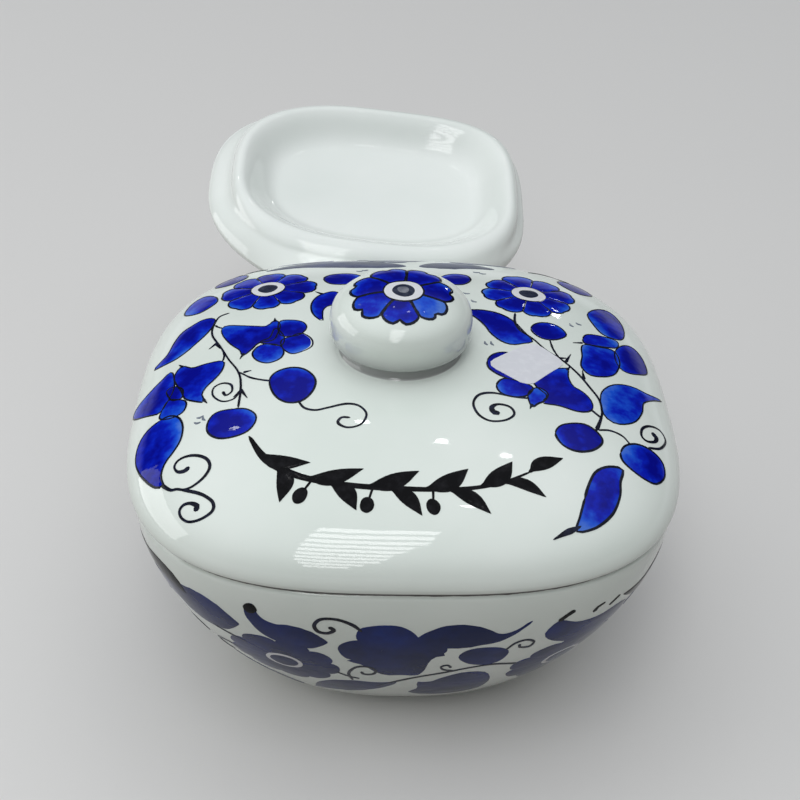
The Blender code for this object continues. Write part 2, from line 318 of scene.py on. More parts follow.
def makeDish():
    # spun round a hub, then stretched into its oblong, with a nose of clay that meets the bowl
    f = dishForm
    lip, drop, depth, out = f["rimWidth"] / 2, f["bellyDrop"], f["height"], f["belly"]
    floorTop, inner = f["floor"] - depth, -f["rimWidth"] - f["wallRun"]
    belly = bend((-f["footInset"], -depth), (0, -depth), (out, -(depth + drop) / 2), (out, -drop), 22)
    halfway = -(drop + f["groove"]) / 2
    shoulder = bend((out, -drop), (out, halfway), (0, halfway), (0, -f["groove"]), 14)
    crest = roundEdge((-lip, -lip), lip, 0, f["crestTurn"], f["crestSteps"])
    inside = bend(crest[-1], crest[-1] - f["basinEase"], (inner + f["wallRun"] * f["basinHold"], floorTop),
                  (inner, floorTop), 22)
    hub = f["hub"]
    line = np.concatenate([[(-hub, -depth)], belly, shoulder[1:], crest, inside[1:], [(-hub, floorTop)]])
    line[:, 0] += hub
    piece = spinProfile("dishGlazed", line, f["around"])
    co = readPlaces(piece.data)
    (reach, angle), height = polar(co), co[:, 2]
    drawn = np.argmin(np.hypot(reach[:, None] - line[:, 0], height[:, None] - line[:, 1]), axis=1)

    # towards the bowl the groove under the rim fills out into one round shoulder
    widest, groove = len(belly), len(belly) + len(shoulder) - 1
    top = groove + 1 + f["crestSteps"] * 90 // f["crestTurn"]
    turn, under, over = f["shoulderTurn"], groove - widest + 1, top - groove + 1
    arc = np.radians(np.concatenate([np.linspace(0, turn, under), np.linspace(turn, 90, over)[1:]]))
    full = line.copy()
    full[widest:top + 1] = np.stack([
        f["hub"] - lip + (out + lip) * np.cos(arc), -drop + drop * np.sin(arc),
    ], 1)
    front = soften(np.clip((-np.sin(angle) - f["frontFrom"]) / f["frontFade"], 0, 1))[:, None]
    swept = line[drawn] * (1 - front) + full[drawn] * front
    reach, height = swept[:, 0], swept[:, 1]

    outside = drawn <= groove
    low = np.where(outside, np.clip((-height - f["groove"]) / (drop - f["groove"]), 0, 1), 0)
    hold = f["hub"] + inner
    growth, scale = np.maximum(reach, hold) - f["hub"], np.minimum(reach / hold, 1)
    power = f["power"] + f["cornerPower"] * np.clip(np.cos(angle - math.radians(f["cornerAt"])), 0, 1) ** 2
    wide = (np.abs(np.cos(angle) / (f["halfWidth"] + growth)) ** power
            + np.abs(np.sin(angle) / (f["halfDepth"] + growth)) ** power) ** (-1 / power) * scale
    nose = np.clip(-np.sin(angle), 0, 1) ** f["nosePower"] * scale
    flat = np.stack([wide * np.cos(angle) + f["bellyLean"] * low * scale,
                     wide * np.sin(angle) - f["noseReach"] * low * nose, height], 1)
    tilt, roll = math.radians(f["tilt"]), math.radians(f["roll"])
    turned = flat @ np.array(Matrix.Rotation(roll, 3, "Y") @ Matrix.Rotation(tilt, 3, "X")).T
    rimSide = lidForm["halfWidth"] + f["standoff"] + f["halfDepth"] * math.cos(tilt)
    rimUp = bowlForm["height"] + f["lift"] + f["halfDepth"] * math.sin(tilt)
    writePlaces(piece.data, inPlace(turned + (f["side"], rimSide, rimUp)))
    return piece


def makeCore():
    # the room that the bowl and the lifting lid take, which the dish's clay is trimmed to
    f = bowlForm
    wall = sidestep(bowlWall(56), -dishForm["wallRoom"])
    clear, top = lidForm["halfWidth"] + dishForm["lidRoom"], lidTop + 12
    line = np.concatenate([[(0, wall[0][1])], wall, [(clear, f["height"] - 1), (clear, top), (0, top)]])
    core = squareUp(spinProfile("core", line, f["around"]), bowlPower)
    core.hide_render = True
    return core


seamForm = {
    "rings": 120, "sides": 10, "size": 1.1, "swells": ((0.12, 0.37), (0.08, 0.93)), "easings": 4,
    "near": 0.06, "ringReach": 10,
}


def seamLoop(piece):
    # the closed line where the trimmed clay touches the bowl, in order
    mesh = piece.data
    co = readPlaces(mesh) / mm - np.array([potX, potY, 0]) / mm
    reach, angle = polar(co)
    wall = sidestep(bowlWall(300), -dishForm["wallRoom"])
    want = np.interp(co[:, 2], wall[:, 1], wall[:, 0])
    onWall = np.abs(reach - want * squareRadius(angle, bowlPower(want))) < seamForm["near"]
    on = onWall & (co[:, 2] < bowlForm["height"] - 1)
    uses = {}
    for face in mesh.polygons:
        inWall = all(on[v] for v in face.vertices)
        for edge in face.edge_keys:
            uses.setdefault(edge, []).append(inWall)
    nextTo = {}
    for (a, b), sides in uses.items():
        if len(sides) == 2 and sides[0] != sides[1] and on[a] and on[b]:
            nextTo.setdefault(a, []).append(b)
            nextTo.setdefault(b, []).append(a)
    start = next(iter(nextTo))
    loop, last = [start], None
    while True:
        ways = [v for v in nextTo[loop[-1]] if v != last]
        if not ways or ways[0] == start:
            break
        last = loop[-1]
        loop.append(ways[0])
    return co[loop]


def makeSeam(points):
    # the bead of slip that lutes the dish to the bowl
    f = seamForm
    rings, ringReach = f["rings"], f["ringReach"]
    closed = np.concatenate([points, points[:1]])
    far = np.concatenate([[0], np.cumsum(np.linalg.norm(np.diff(closed, axis=0), axis=1))])
    want = np.linspace(0, far[-1], rings + 1)[:-1]
    path = np.stack([np.interp(want, far, closed[:, k]) for k in range(3)], 1)
    for _ in range(f["easings"]):
        path = (np.roll(path, 1, 0) + 2 * path + np.roll(path, -1, 0)) / 4
    deselect()
    bpy.ops.mesh.primitive_torus_add(
        major_segments=rings, minor_segments=f["sides"], major_radius=ringReach, minor_radius=1)
    bead = bpy.context.active_object
    bead.name = bead.data.name = "luteSeam"
    co = readPlaces(bead.data)
    (reach, angle), up = polar(co), co[:, 2]
    turn = np.round(angle / (2 * math.pi) * rings).astype(int) % rings
    across = reach - ringReach
    run = unit(np.roll(path, -1, 0) - np.roll(path, 1, 0))
    side = unit(np.cross(run, np.cross(path - path.mean(0), run)))
    lift = np.cross(side, run)
    size = np.ones(rings)
    for share, step in f["swells"]:
        size += share * np.sin(np.arange(rings) * step)
    size = f["size"] * size[turn][:, None]
    co = path[turn] + (side[turn] * across[:, None] + lift[turn] * up[:, None]) * size
    writePlaces(bead.data, inPlace(co))
    bpy.ops.object.mode_set(mode="EDIT")
    bpy.ops.mesh.select_all(action="SELECT")
    bpy.ops.mesh.normals_make_consistent(inside=False)
    bpy.ops.object.mode_set(mode="OBJECT")
    bpy.ops.object.shade_smooth()
    return bead


bowlSkin = makeBowl()
lidSkin = makeLid()
print("bowl and lid turned", len(bowlSkin.data.polygons), len(lidSkin.data.polygons))

dishSkin = makeDish()
core = makeCore()
trim = dishSkin.modifiers.new("trim", "BOOLEAN")
trim.object, trim.solver = core, "EXACT"
onlySelect(dishSkin)
bpy.ops.object.modifier_apply(modifier="trim")
seamSkin = makeSeam(seamLoop(dishSkin))
onlySelect(dishSkin)
bpy.ops.object.shade_smooth_by_angle(angle=math.radians(35))
bpy.data.objects.remove(core)
print("dish lofted and luted on", len(dishSkin.data.polygons))

for skin, body, slot, nodes in (
    (bowlSkin, "base", "painted_glaze", ["bowl"]), (lidSkin, "cover", "painted_glaze", ["lid", "knob"]),
    (dishSkin, "base", "plain_glaze", ["pit_dish"]), (seamSkin, "base", "plain_glaze", []),
):
    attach(skin, body)
    if nodes:
        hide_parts(*nodes)


# finishes: short ways to add and join nodes, then the glazes and the paints

def feed(tree, socket, value):
    # a socket takes another node's output, a colour or a number
    if isinstance(value, bpy.types.NodeSocket):
        tree.links.new(value, socket)
    elif isinstance(value, tuple):
        socket.default_value = (*value, 1)
    else:
        socket.default_value = value


def newFinish(name):
    finish = bpy.data.materials.new(name)
    finish.use_nodes = True
    return finish, finish.node_tree, finish.node_tree.nodes["Principled BSDF"].inputs


def onPiece(tree):
    return tree.nodes.new("ShaderNodeTexCoord").outputs["Object"]


def heightOf(tree, where):
    parts = tree.nodes.new("ShaderNodeSeparateXYZ")
    feed(tree, parts.inputs["Vector"], where)
    return parts.outputs["Z"]


def attribute(tree, name):
    node = tree.nodes.new("ShaderNodeAttribute")
    node.attribute_name = name
    return node.outputs["Fac"]


def noise(tree, where, scale, detail=2.0, rough=0.5):
    node = tree.nodes.new("ShaderNodeTexNoise")
    for key, value in (("Vector", where), ("Scale", scale), ("Detail", detail), ("Roughness", rough)):
        feed(tree, node.inputs[key], value)
    return node.outputs["Fac"]


def reckon(tree, operation, *values):
    node = tree.nodes.new("ShaderNodeMath")
    node.operation = operation
    for socket, value in zip(node.inputs, values):
        feed(tree, socket, value)
    return node.outputs[0]


def rescale(tree, value, low, high, toLow, toHigh, smooth=False):
    node = tree.nodes.new("ShaderNodeMapRange")
    if smooth:
        node.interpolation_type = "SMOOTHSTEP"
    keys = ("Value", "From Min", "From Max", "To Min", "To Max")
    for key, number in zip(keys, (value, low, high, toLow, toHigh)):
        feed(tree, node.inputs[key], number)
    return node.outputs["Result"]


def mixed(tree, share, a, b):
    node = tree.nodes.new("ShaderNodeMix")
    node.data_type = "RGBA"
    for key, value in (("Factor", share), ("A", a), ("B", b)):
        feed(tree, node.inputs[key], value)
    return node.outputs["Result"]


def ramp(tree, value, stops):
    node = tree.nodes.new("ShaderNodeValToRGB")
    while len(node.color_ramp.elements) < len(stops):
        node.color_ramp.elements.new(0.5)
    for element, (place, colour) in zip(node.color_ramp.elements, stops):
        element.position, element.color = place, (*colour, 1.0)
    feed(tree, node.inputs["Fac"], value)
    return node.outputs["Color"]


def ripple(tree, shader, where, look):
    # the faint unevenness of fired glaze
    node = tree.nodes.new("ShaderNodeBump")
    height = noise(tree, where, look["ripples"])
    for key, value in (("Strength", 1.0), ("Distance", look["depth"]), ("Height", height)):
        feed(tree, node.inputs[key], value)
    feed(tree, shader["Normal"], node.outputs["Normal"])


glazeLook = {
    "low": (0.735, 0.805, 0.75), "high": (0.80, 0.857, 0.81),
    "clouds": 26, "lowBelow": 0.32, "highAbove": 0.68,
    "rough": 0.022, "smears": 90, "smearing": 0.03, "ripples": 55, "depth": 0.00016, "ior": 1.52,
}
dishGlazeLook = {**glazeLook, "low": (0.815, 0.868, 0.83), "high": (0.865, 0.908, 0.875), "rough": 0.055}
speckLook = {"colour": (0.12, 0.13, 0.16), "cells": 130, "size": 0.045, "rareness": 0.93}

# heights are in mm above the table
knobShadeLook = {  # painted shade under the knob, mostly up the lower half of its ball, partly glaze pooled in the crease
    "colour": (0.36, 0.375, 0.365), "from": 87.6, "full": 87.85, "fade": 90.0, "to": 97.0,
}
seamShadeLook = {  # painted shade: dark bands on the edges either side of the seam between bowl and lid, standing in for the shadow in the gap
    "colour": (0.20, 0.195, 0.19), "from": 64.62, "to": 65.95, "rough": 0.7,
}
clayLook = {  # the bare faces of rim and seat
    "colour": (0.50, 0.455, 0.39), "from": 64.88, "to": 65.5,
}
raggedEdge = {"scale": 320, "reach": 0.3}


def specks(tree, where):
    # 1 on a few small dots, 0 elsewhere
    cells = tree.nodes.new("ShaderNodeTexVoronoi")
    feed(tree, cells.inputs["Scale"], speckLook["cells"])
    feed(tree, cells.inputs["Vector"], where)
    pick = tree.nodes.new("ShaderNodeSeparateColor")
    feed(tree, pick.inputs["Color"], cells.outputs["Color"])
    small = reckon(tree, "LESS_THAN", cells.outputs["Distance"], speckLook["size"])
    few = reckon(tree, "GREATER_THAN", pick.outputs["Red"], speckLook["rareness"])
    return reckon(tree, "MULTIPLY", small, few)


def heightBand(tree, where, look):
    # 1 between two heights, with a ragged edge, and 0 elsewhere
    reach = raggedEdge["reach"] * mm
    ragged = noise(tree, where, raggedEdge["scale"])
    height = reckon(tree, "MULTIPLY_ADD", ragged, reach, heightOf(tree, where))
    middle, half = (look["from"] + look["to"]) / 2 * mm + reach / 2, (look["to"] - look["from"]) / 2 * mm
    return reckon(tree, "COMPARE", height, middle, half)


def shadeUnderKnob(tree, where, look):
    # painted shade: 1 just above the crown of the lid, fading out up the knob's neck and the lower half of
    # its ball
    height = heightOf(tree, where)
    rising = rescale(tree, height, look["from"] * mm, look["full"] * mm, 0, 1, smooth=True)
    fading = rescale(tree, height, look["fade"] * mm, look["to"] * mm, 1, 0, smooth=True)
    return reckon(tree, "MULTIPLY", rising, fading)


def whiteGlaze(name, look, onPot):
    finish, tree, shader = newFinish(name)
    where = onPiece(tree)
    clouds = noise(tree, where, look["clouds"], 3)
    colour = ramp(tree, clouds, [(look["lowBelow"], look["low"]), (look["highAbove"], look["high"])])
    smears, rough = noise(tree, where, look["smears"]), look["rough"]
    gloss = rescale(tree, smears, 0, 1, rough, rough + look["smearing"])
    if onPot:
        colour = mixed(tree, specks(tree, where), colour, speckLook["colour"])
        # painted shade: dark bands either side of the seam, with bare clay on the rim top and the lid's seat
        # between them
        seamBand = heightBand(tree, where, seamShadeLook)
        clayAndSeamShade = mixed(tree, heightBand(tree, where, clayLook), seamShadeLook["colour"], clayLook["colour"])
        colour = mixed(tree, seamBand, colour, clayAndSeamShade)
        # painted shade under the knob
        colour = mixed(tree, shadeUnderKnob(tree, where, knobShadeLook), colour, knobShadeLook["colour"])
        gloss = reckon(tree, "MULTIPLY_ADD", seamBand, seamShadeLook["rough"], gloss)
    feed(tree, shader["Base Color"], colour)
    feed(tree, shader["Roughness"], gloss)
    feed(tree, shader["IOR"], look["ior"])
    ripple(tree, shader, where, look)
    return finish


cobaltLook = {
    "deep": (0.001, 0.003, 0.25), "mid": (0.002, 0.013, 0.46), "clear": (0.010, 0.085, 0.64),
    "pale": (0.08, 0.20, 0.66), "pools": 210, "pooling": 0.85, "edgeFrom": 0.55, "paleEdge": 0.12,
    "rough": 0.045, "ior": 1.32, "shine": 0.3, "ripples": 160, "depth": 0.00012,
}
# painted shade: a darker, greyer copy of the cobalt for the bowl's wall and the back of the lid, where the
# blue lies in shade; the blue is thinned there too
shadedWashLook = {
    **cobaltLook, "deep": (0.004, 0.012, 0.075), "mid": (0.005, 0.018, 0.14), "clear": (0.008, 0.035, 0.26),
    "pale": (0.025, 0.070, 0.32), "pools": 75, "paleEdge": 0.0, "ior": 1.30, "shine": 0.25,
}
lineLook = {
    "flecks": 420, "thickBelow": 0.45, "wornAbove": 0.85,
    "rough": 0.12, "ior": 1.30, "shine": 0.3, "ripples": 300, "depth": 0.0001,
}
lineColours = {  # thick paint, and worn paint
    "outline": ((0.004, 0.005, 0.012), (0.02, 0.025, 0.06)),
    "stem": ((0.010, 0.013, 0.030), (0.04, 0.05, 0.085)),
    "tick": ((0.16, 0.19, 0.24), (0.38, 0.41, 0.44)),
    "ring": ((0.72, 0.73, 0.76), (0.80, 0.81, 0.82)),
    "heart": ((0.02, 0.025, 0.05), (0.07, 0.08, 0.12)),
    "pale": ((0.14, 0.15, 0.19), (0.34, 0.35, 0.39)),
}
brushColours = (0.003, 0.003, 0.004), (0.015, 0.015, 0.018)
paperColours = (0.70, 0.715, 0.76), (0.79, 0.805, 0.845)


def glossy(tree, shader, where, look):
    for key, name in (("Roughness", "rough"), ("IOR", "ior"), ("Specular IOR Level", "shine")):
        feed(tree, shader[key], look[name])
    ripple(tree, shader, where, look)


def cobaltGlaze(name, look):
    # the colour runs from deep to pale with its pools, each mark's tone and the nearness of an edge
    finish, tree, shader = newFinish(name)
    where = onPiece(tree)
    pools = noise(tree, where, look["pools"], 3, 0.6)
    depth = reckon(tree, "MULTIPLY_ADD", pools, look["pooling"], attribute(tree, "tone"))
    atEdge = rescale(tree, attribute(tree, "edge"), look["edgeFrom"], 1.0, 0.0, look["paleEdge"])
    stops = [(0.34, look["deep"]), (0.52, look["mid"]), (0.74, look["clear"]), (1.0, look["pale"])]
    feed(tree, shader["Base Color"], ramp(tree, reckon(tree, "ADD", depth, atEdge), stops))
    glossy(tree, shader, where, look)
    return finish


def linePaint(name, thick, worn, **changes):
    finish, tree, shader = newFinish(name)
    look, where = {**lineLook, **changes}, onPiece(tree)
    flecks = noise(tree, where, look["flecks"], 3, 0.6)
    colour = ramp(tree, flecks, [(look["thickBelow"], thick), (look["wornAbove"], worn)])
    feed(tree, shader["Base Color"], colour)
    glossy(tree, shader, where, look)
    return finish


potGlaze = whiteGlaze("potGlaze", glazeLook, True)
dishGlaze = whiteGlaze("dishGlaze", dishGlazeLook, False)
paints = {"cobalt": cobaltGlaze("cobaltPaint", cobaltLook), "wash": cobaltGlaze("washPaint", shadedWashLook)}
for paint, colours in lineColours.items():
    paints[paint] = linePaint(paint + "Paint", *colours)
paints["line"] = paints["outline"]
paints["brush"] = linePaint("brushPaint", *brushColours, rough=0.1, shine=0.14)
paints["paper"] = linePaint("paperLook", *paperColours, rough=0.5)

for skin in (bowlSkin, lidSkin):
    skin.data.materials.append(potGlaze)
for skin in (dishSkin, seamSkin):
    skin.data.materials.clear()
    skin.data.materials.append(dishGlaze)
print("finishes mixed")


# painting: marks are modelled once, flat, then each copy is laid on the curved clay

def closeUnder():
    # the rim of the flat mark is drawn down to height 0 and closed with one face
    bpy.ops.mesh.region_to_loop()
    bpy.ops.mesh.extrude_edges_move(TRANSFORM_OT_translate={"value": (0, 0, -1)})
    bpy.ops.mesh.edge_face_add()
    bpy.ops.mesh.select_all(action="SELECT")
    bpy.ops.mesh.normals_make_consistent(inside=False)
    bpy.ops.object.mode_set(mode="OBJECT")
    bpy.ops.object.shade_smooth()


def makeDab(sides, insets):
    # a round blob of paint, radius 1, its top at height 1 and its hidden base at 0
    deselect()
    bpy.ops.mesh.primitive_circle_add(vertices=sides, radius=1, fill_type="NGON", location=(0, 0, 0))
    dab = bpy.context.active_object
    dab.name = "dab"
    bpy.ops.object.mode_set(mode="EDIT")
    bpy.ops.mesh.select_mode(type="FACE")
    bpy.ops.mesh.select_all(action="SELECT")
    for share in insets:
        bpy.ops.mesh.inset(thickness=share)
    bpy.ops.mesh.poke()
    bpy.ops.mesh.select_all(action="SELECT")
    bpy.ops.transform.translate(value=(0, 0, 1))
    closeUnder()
    return dab


def makeStroke(name, along, across):
    # a straight brush mark from x -1 to 1, as wide as y -1 to 1, closed underneath
    deselect()
    bpy.ops.mesh.primitive_grid_add(x_subdivisions=along, y_subdivisions=across, size=2, location=(0, 0, 1))
    stroke = bpy.context.active_object
    stroke.name = name
    bpy.ops.object.transform_apply(location=True, rotation=False, scale=False)
    bpy.ops.object.mode_set(mode="EDIT")
    bpy.ops.mesh.select_mode(type="EDGE")
    bpy.ops.mesh.select_all(action="SELECT")
    closeUnder()
    return stroke


class Mark:
    def __init__(self, model):
        self.mesh = model.data
        self.places = readPlaces(model.data)
        for name in ("tone", "edge"):
            self.mesh.attributes.new(name, "FLOAT", "POINT")
        bpy.data.objects.remove(model)


dabSides = 32
dabMark = Mark(makeDab(dabSides, (0.09, 0.25)))
wideMark = Mark(makeDab(dabSides, (0.08, 0.17, 0.22, 0.24)))
leafMark = Mark(makeStroke("leafStroke", 26, 6))
lineMark = Mark(makeStroke("lineStroke", 18, 2))
longMark = Mark(makeStroke("longStroke", 64, 2))
loopMark = Mark(makeStroke("loopStroke", 42, 2))

domeTable, wallTable, ballTable = (line(300)[::-1] for line in (domeLine, bowlWall, ballLine))
domeArc, wallArc, ballArc = (alongLine(table) for table in (domeTable, wallTable, ballTable))


def onLid(x, y):
    # x to the right and y to the back, measured over the dome from its crown
    far, angle = np.hypot(x, y), np.arctan2(y, x)
    reach = np.interp(far, domeArc, domeTable[:, 0])
    wide = reach * squareRadius(angle, lidPower(reach))
    height = np.interp(far, domeArc, domeTable[:, 1])
    return np.stack([wide * np.cos(angle), wide * np.sin(angle), height], -1)


def onKnob(x, y):
    far, angle = np.hypot(x, y), np.arctan2(y, x)
    reach, side = np.interp(far, ballArc, ballTable[:, 0]), knobForm["side"]
    height = np.interp(far, ballArc, ballTable[:, 1])
    return np.stack([reach * np.cos(angle) + side, reach * np.sin(angle), height], -1)


def onBowl(x, y):
    # x round the wall from its front, in mm at the rim, and y up from the rim, so it is negative
    angle = x / bowlForm["halfWidth"] - math.pi / 2
    reach = np.interp(-y, wallArc, wallTable[:, 0])
    wide = reach * squareRadius(angle, bowlPower(reach))
    height = np.interp(-y, wallArc, wallTable[:, 1])
    return np.stack([wide * np.cos(angle), wide * np.sin(angle), height], -1)


painted = {}
rise = {  # how far each layer's edge and middle stand over the clay, in mm
    "wash": (0.07, 0.085), "colour": (0.03, 0.10), "line": (0.105, 0.15), "ring": (0.155, 0.18),
    "heart": (0.185, 0.205), "top": (0.21, 0.23),
}
brushForm = {
    "sunk": -0.16, "coat": 0.0007, "coats": 6, "nudge": 0.15, "wideFrom": 4.5,
    "thinning": 0.42, "unevenLow": 0.78, "unevenHigh": 1.22,
}


def layOn(surface, x, y, height):
    here, nudge = surface(x, y), brushForm["nudge"]
    alongX = surface(x + nudge, y) - surface(x - nudge, y)
    alongY = surface(x, y + nudge) - surface(x, y - nudge)
    return inPlace(here + unit(np.cross(alongX, alongY)) * height[:, None])


def addMark(mark, sheet, paint, x, y, height, tone, edge):
    mesh = mark.mesh.copy()
    writePlaces(mesh, layOn(sheet["surface"], x, y, height))
    mesh.attributes["tone"].data.foreach_set("value", np.asarray(tone, np.float32))
    mesh.attributes["edge"].data.foreach_set("value", np.asarray(edge, np.float32))
    piece = bpy.data.objects.new("mark", mesh)
    bpy.context.scene.collection.objects.link(piece)
    painted.setdefault((sheet["name"], paint), []).append(piece)


def coat(sheet, paint):
    # each new mark lies a hair above the one before it, so that no two share a plane
    return brushForm["coat"] * (len(painted.get((sheet["name"], paint), ())) % brushForm["coats"])


def evenly(line, count, closed=False):
    line = np.asarray(line, float)
    if closed:
        line = np.concatenate([line, line[:1]])
    far = alongLine(line)
    want = np.linspace(0, far[-1], count + 1)[:-1] if closed else np.linspace(0, far[-1], count)
    return np.stack([np.interp(want, far, line[:, 0]), np.interp(want, far, line[:, 1])], 1)


def flow(points, closed=False, steps=12):
    # a soft line through a few points
    p = [np.array(q, float) for q in points]
    p = [p[-1]] + p + p[:2] if closed else [2 * p[0] - p[1]] + p + [2 * p[-1] - p[-2]]
    out = []
    for a, b, c, d in zip(p, p[1:], p[2:], p[3:]):
        for t in np.linspace(0, 1, steps, endpoint=False):
            out.append(0.5 * (2 * b + (c - a) * t + (2 * a - 5 * b + 4 * c - d) * t * t
                              + (3 * b - a - 3 * c + d) * t ** 3))
    if not closed:
        out.append(p[-2])
    return np.array(out)


def dab(sheet, paint, outline, level="colour", tone=0.0, grow=0.0, light=None):
    # a filled blob; light is the way, in degrees, in which its colour thins out
    outline = evenly(outline, dabSides, closed=True)
    area = np.sum(outline[:, 0] * np.roll(outline[:, 1], -1) - np.roll(outline[:, 0], -1) * outline[:, 1])
    if area < 0:
        outline = outline[::-1]
    middle = outline.mean(0)
    run = unit(np.roll(outline, -1, 0) - np.roll(outline, 1, 0))
    outline = outline + np.stack([run[:, 1], -run[:, 0]], 1) * grow
    size = np.linalg.norm(outline - middle, axis=1).max()
    mark = wideMark if size > brushForm["wideFrom"] else dabMark
    co = mark.places
    out, turn = polar(co)
    turn = turn / (2 * math.pi) * dabSides
    corner = np.floor(turn + 1e-6).astype(int) % dabSides
    part = (turn - np.floor(turn + 1e-6))[:, None]
    edgePoint = outline[corner] * (1 - part) + outline[(corner + 1) % dabSides] * part
    flat = middle + (edgePoint - middle) * out[:, None]
    low, high = np.add(rise[level], coat(sheet, paint))
    swell = np.sqrt(np.clip(1 - np.clip(out, 0, 1) ** 5, 0, 1))
    height = np.where(co[:, 2] > 0.5, low + (high - low) * swell, brushForm["sunk"])
    tones = np.full(len(out), float(tone))
    if light is not None:
        way = np.array([math.cos(math.radians(light)), math.sin(math.radians(light))])
        along = (flat - middle) @ way
        share = np.clip(along / max(abs(along).max(), 0.1), -0.3, 1)
        tones += brushForm["thinning"] * share ** 2 * np.sign(along)
    addMark(mark, sheet, paint, flat[:, 0], flat[:, 1], height, tones, out)


def stroke(sheet, paint, line, width, level="line", mark=lineMark):
    # width is a half width in mm, one number or one for each of the line's points
    count = 200
    width = np.atleast_1d(width)
    width = np.interp(np.linspace(0, 1, count), np.linspace(0, 1, len(width)), width)
    line = evenly(line, count)
    co = mark.places
    t = (co[:, 0] + 1) / 2 * (count - 1)
    run = unit(np.gradient(line, axis=0))
    steps = np.arange(count)
    x, y = np.interp(t, steps, line[:, 0]), np.interp(t, steps, line[:, 1])
    rx, ry = np.interp(t, steps, run[:, 0]), np.interp(t, steps, run[:, 1])
    half = np.interp(t, steps, width)
    long = np.linalg.norm(np.diff(line, axis=0), axis=1).sum()
    fromEnd = np.clip(np.minimum(t, count - 1 - t) / (count - 1) * long / np.maximum(half, 0.05), 0, 1)
    w = half * np.sqrt(np.clip(1 - (1 - fromEnd) ** 2, 0.1, 1)) * co[:, 1]
    low, high = np.add(rise[level], coat(sheet, paint))
    swell = np.sqrt(np.clip(1 - np.abs(co[:, 1]) ** 4, 0, 1)) * np.clip((1 - np.abs(co[:, 0])) * 12, 0, 1)
    height = np.where(co[:, 2] > 0.5, low + (high - low) * swell, brushForm["sunk"])
    edge = np.maximum(np.abs(co[:, 1]), np.abs(co[:, 0]) ** 6)
    addMark(mark, sheet, paint, x - ry * w, y + rx * w, height, np.zeros(len(x)), edge)


def place(points, middle, angle):
    c, s = math.cos(math.radians(angle)), math.sin(math.radians(angle))
    return np.stack([points[:, 0] * c - points[:, 1] * s, points[:, 0] * s + points[:, 1] * c], 1) + middle


def ringOf(x, y, radius, wavy=0.06):
    t = np.linspace(0, 2 * math.pi, 24, endpoint=False)
    waves = 0
    for k in range(4):
        waves += wavy / (k + 1) * chance.uniform(-1, 1) * np.cos((k + 2) * t + chance.uniform(0, 6.3))
    r = radius * (1 + waves)
    return np.stack([x + r * np.cos(t), y + r * np.sin(t)], 1)


def brushWidth(width, count=9):
    return width * chance.uniform(brushForm["unevenLow"], brushForm["unevenHigh"], count)


def contour(sheet, outline, width=0.21):
    # a hand drawn line round a blob, its ends a little past each other
    outline = np.asarray(outline)
    path = np.concatenate([outline, outline[:2]])
    stroke(sheet, "line", path, brushWidth(width), mark=loopMark)


def petal(sheet, points, tone=None, light=None, width=0.21):
    # a blob of cobalt inside its dark line
    outline = flow(points, closed=True)
    tone = chance.uniform(-0.10, 0.12) if tone is None else tone
    light = chance.uniform(0, 360) if light is None else light
    dab(sheet, "cobalt", outline, "colour", tone, grow=0.04, light=light)
    contour(sheet, outline, width)


petalForm = {"tipDrop": 0.16, "notchWide": 0.16, "notchShift": 0.15, "side": 0.84, "narrow": 0.97}


def petalShape(inner, outer, half, notch):
    # a wedge from the ring outwards with a two lobed tip, round the flower's middle
    f = petalForm
    t = np.linspace(-1, 1, 15)
    dip = notch * np.exp(-((t - chance.uniform(-f["notchShift"], f["notchShift"])) / f["notchWide"]) ** 2)
    tip = outer * (1 - f["tipDrop"] * np.abs(t) ** 3 - dip)
    outside = np.stack([tip * np.cos(t * half), tip * np.sin(t * half)], 1)
    r = inner + (outer * f["side"] - inner) * np.linspace(0.80, 0.0, 5)
    half *= f["narrow"]
    left = np.stack([r * math.cos(half), r * math.sin(half)], 1)
    return np.concatenate([outside, left, left[::-1] * (1, -1)])


def rosette(sheet, x, y, size, petals, ring, hole, turn=0.0, width=0.22, between=0.12, notch=0.03,
            tones=None):
    half = math.pi / petals
    for i in range(petals):
        angle = turn + 360 / petals * i
        shape = petalShape(ring * 0.9, size * chance.uniform(0.94, 1.04), half * 0.985, notch)
        shape = place(shape, (x, y), angle)
        tone = tones[i] if tones else chance.uniform(-0.10, 0.10)
        dab(sheet, "cobalt", shape, "colour", tone, light=angle + chance.uniform(-50, 50))
        tip = np.concatenate([shape[-2:], shape[:17]])
        stroke(sheet, "line", tip, [width * 0.5, width, width * 1.1, width, width * 0.5])
        stroke(sheet, "line", shape[14:20], [width * 0.8, between, between * 1.3])
    dab(sheet, "outline", ringOf(x, y, ring + width * 1.5, 0.03), "line")
    dab(sheet, "ring", ringOf(x, y, ring), "ring")
    dab(sheet, "heart", ringOf(x, y, hole), "heart")


def shadedWashRosette(sheet, x, y, size, petals, ring, hole, turn=0.0, stretch=1.15):
    # a flower of thinned blue, darkened as painted shade, with no lines but a fine white ring
    for i in range(petals):
        angle = turn + 360 / petals * i
        shape = petalShape(ring * 0.7, size * chance.uniform(0.95, 1.04), math.pi / petals * 1.08, 0.0)
        dab(sheet, "wash", place(shape, (0, 0), angle) * (stretch, 1) + (x, y), "wash")
    dab(sheet, "ring", ringOf(0, 0, ring, 0.04) * (stretch, 1) + (x, y), "line")
    dab(sheet, "wash", ringOf(0, 0, hole, 0.03) * (stretch, 1) + (x, y), "ring", -0.02)


def blot(sheet, points):
    dab(sheet, "wash", flow(points, closed=True), "wash")


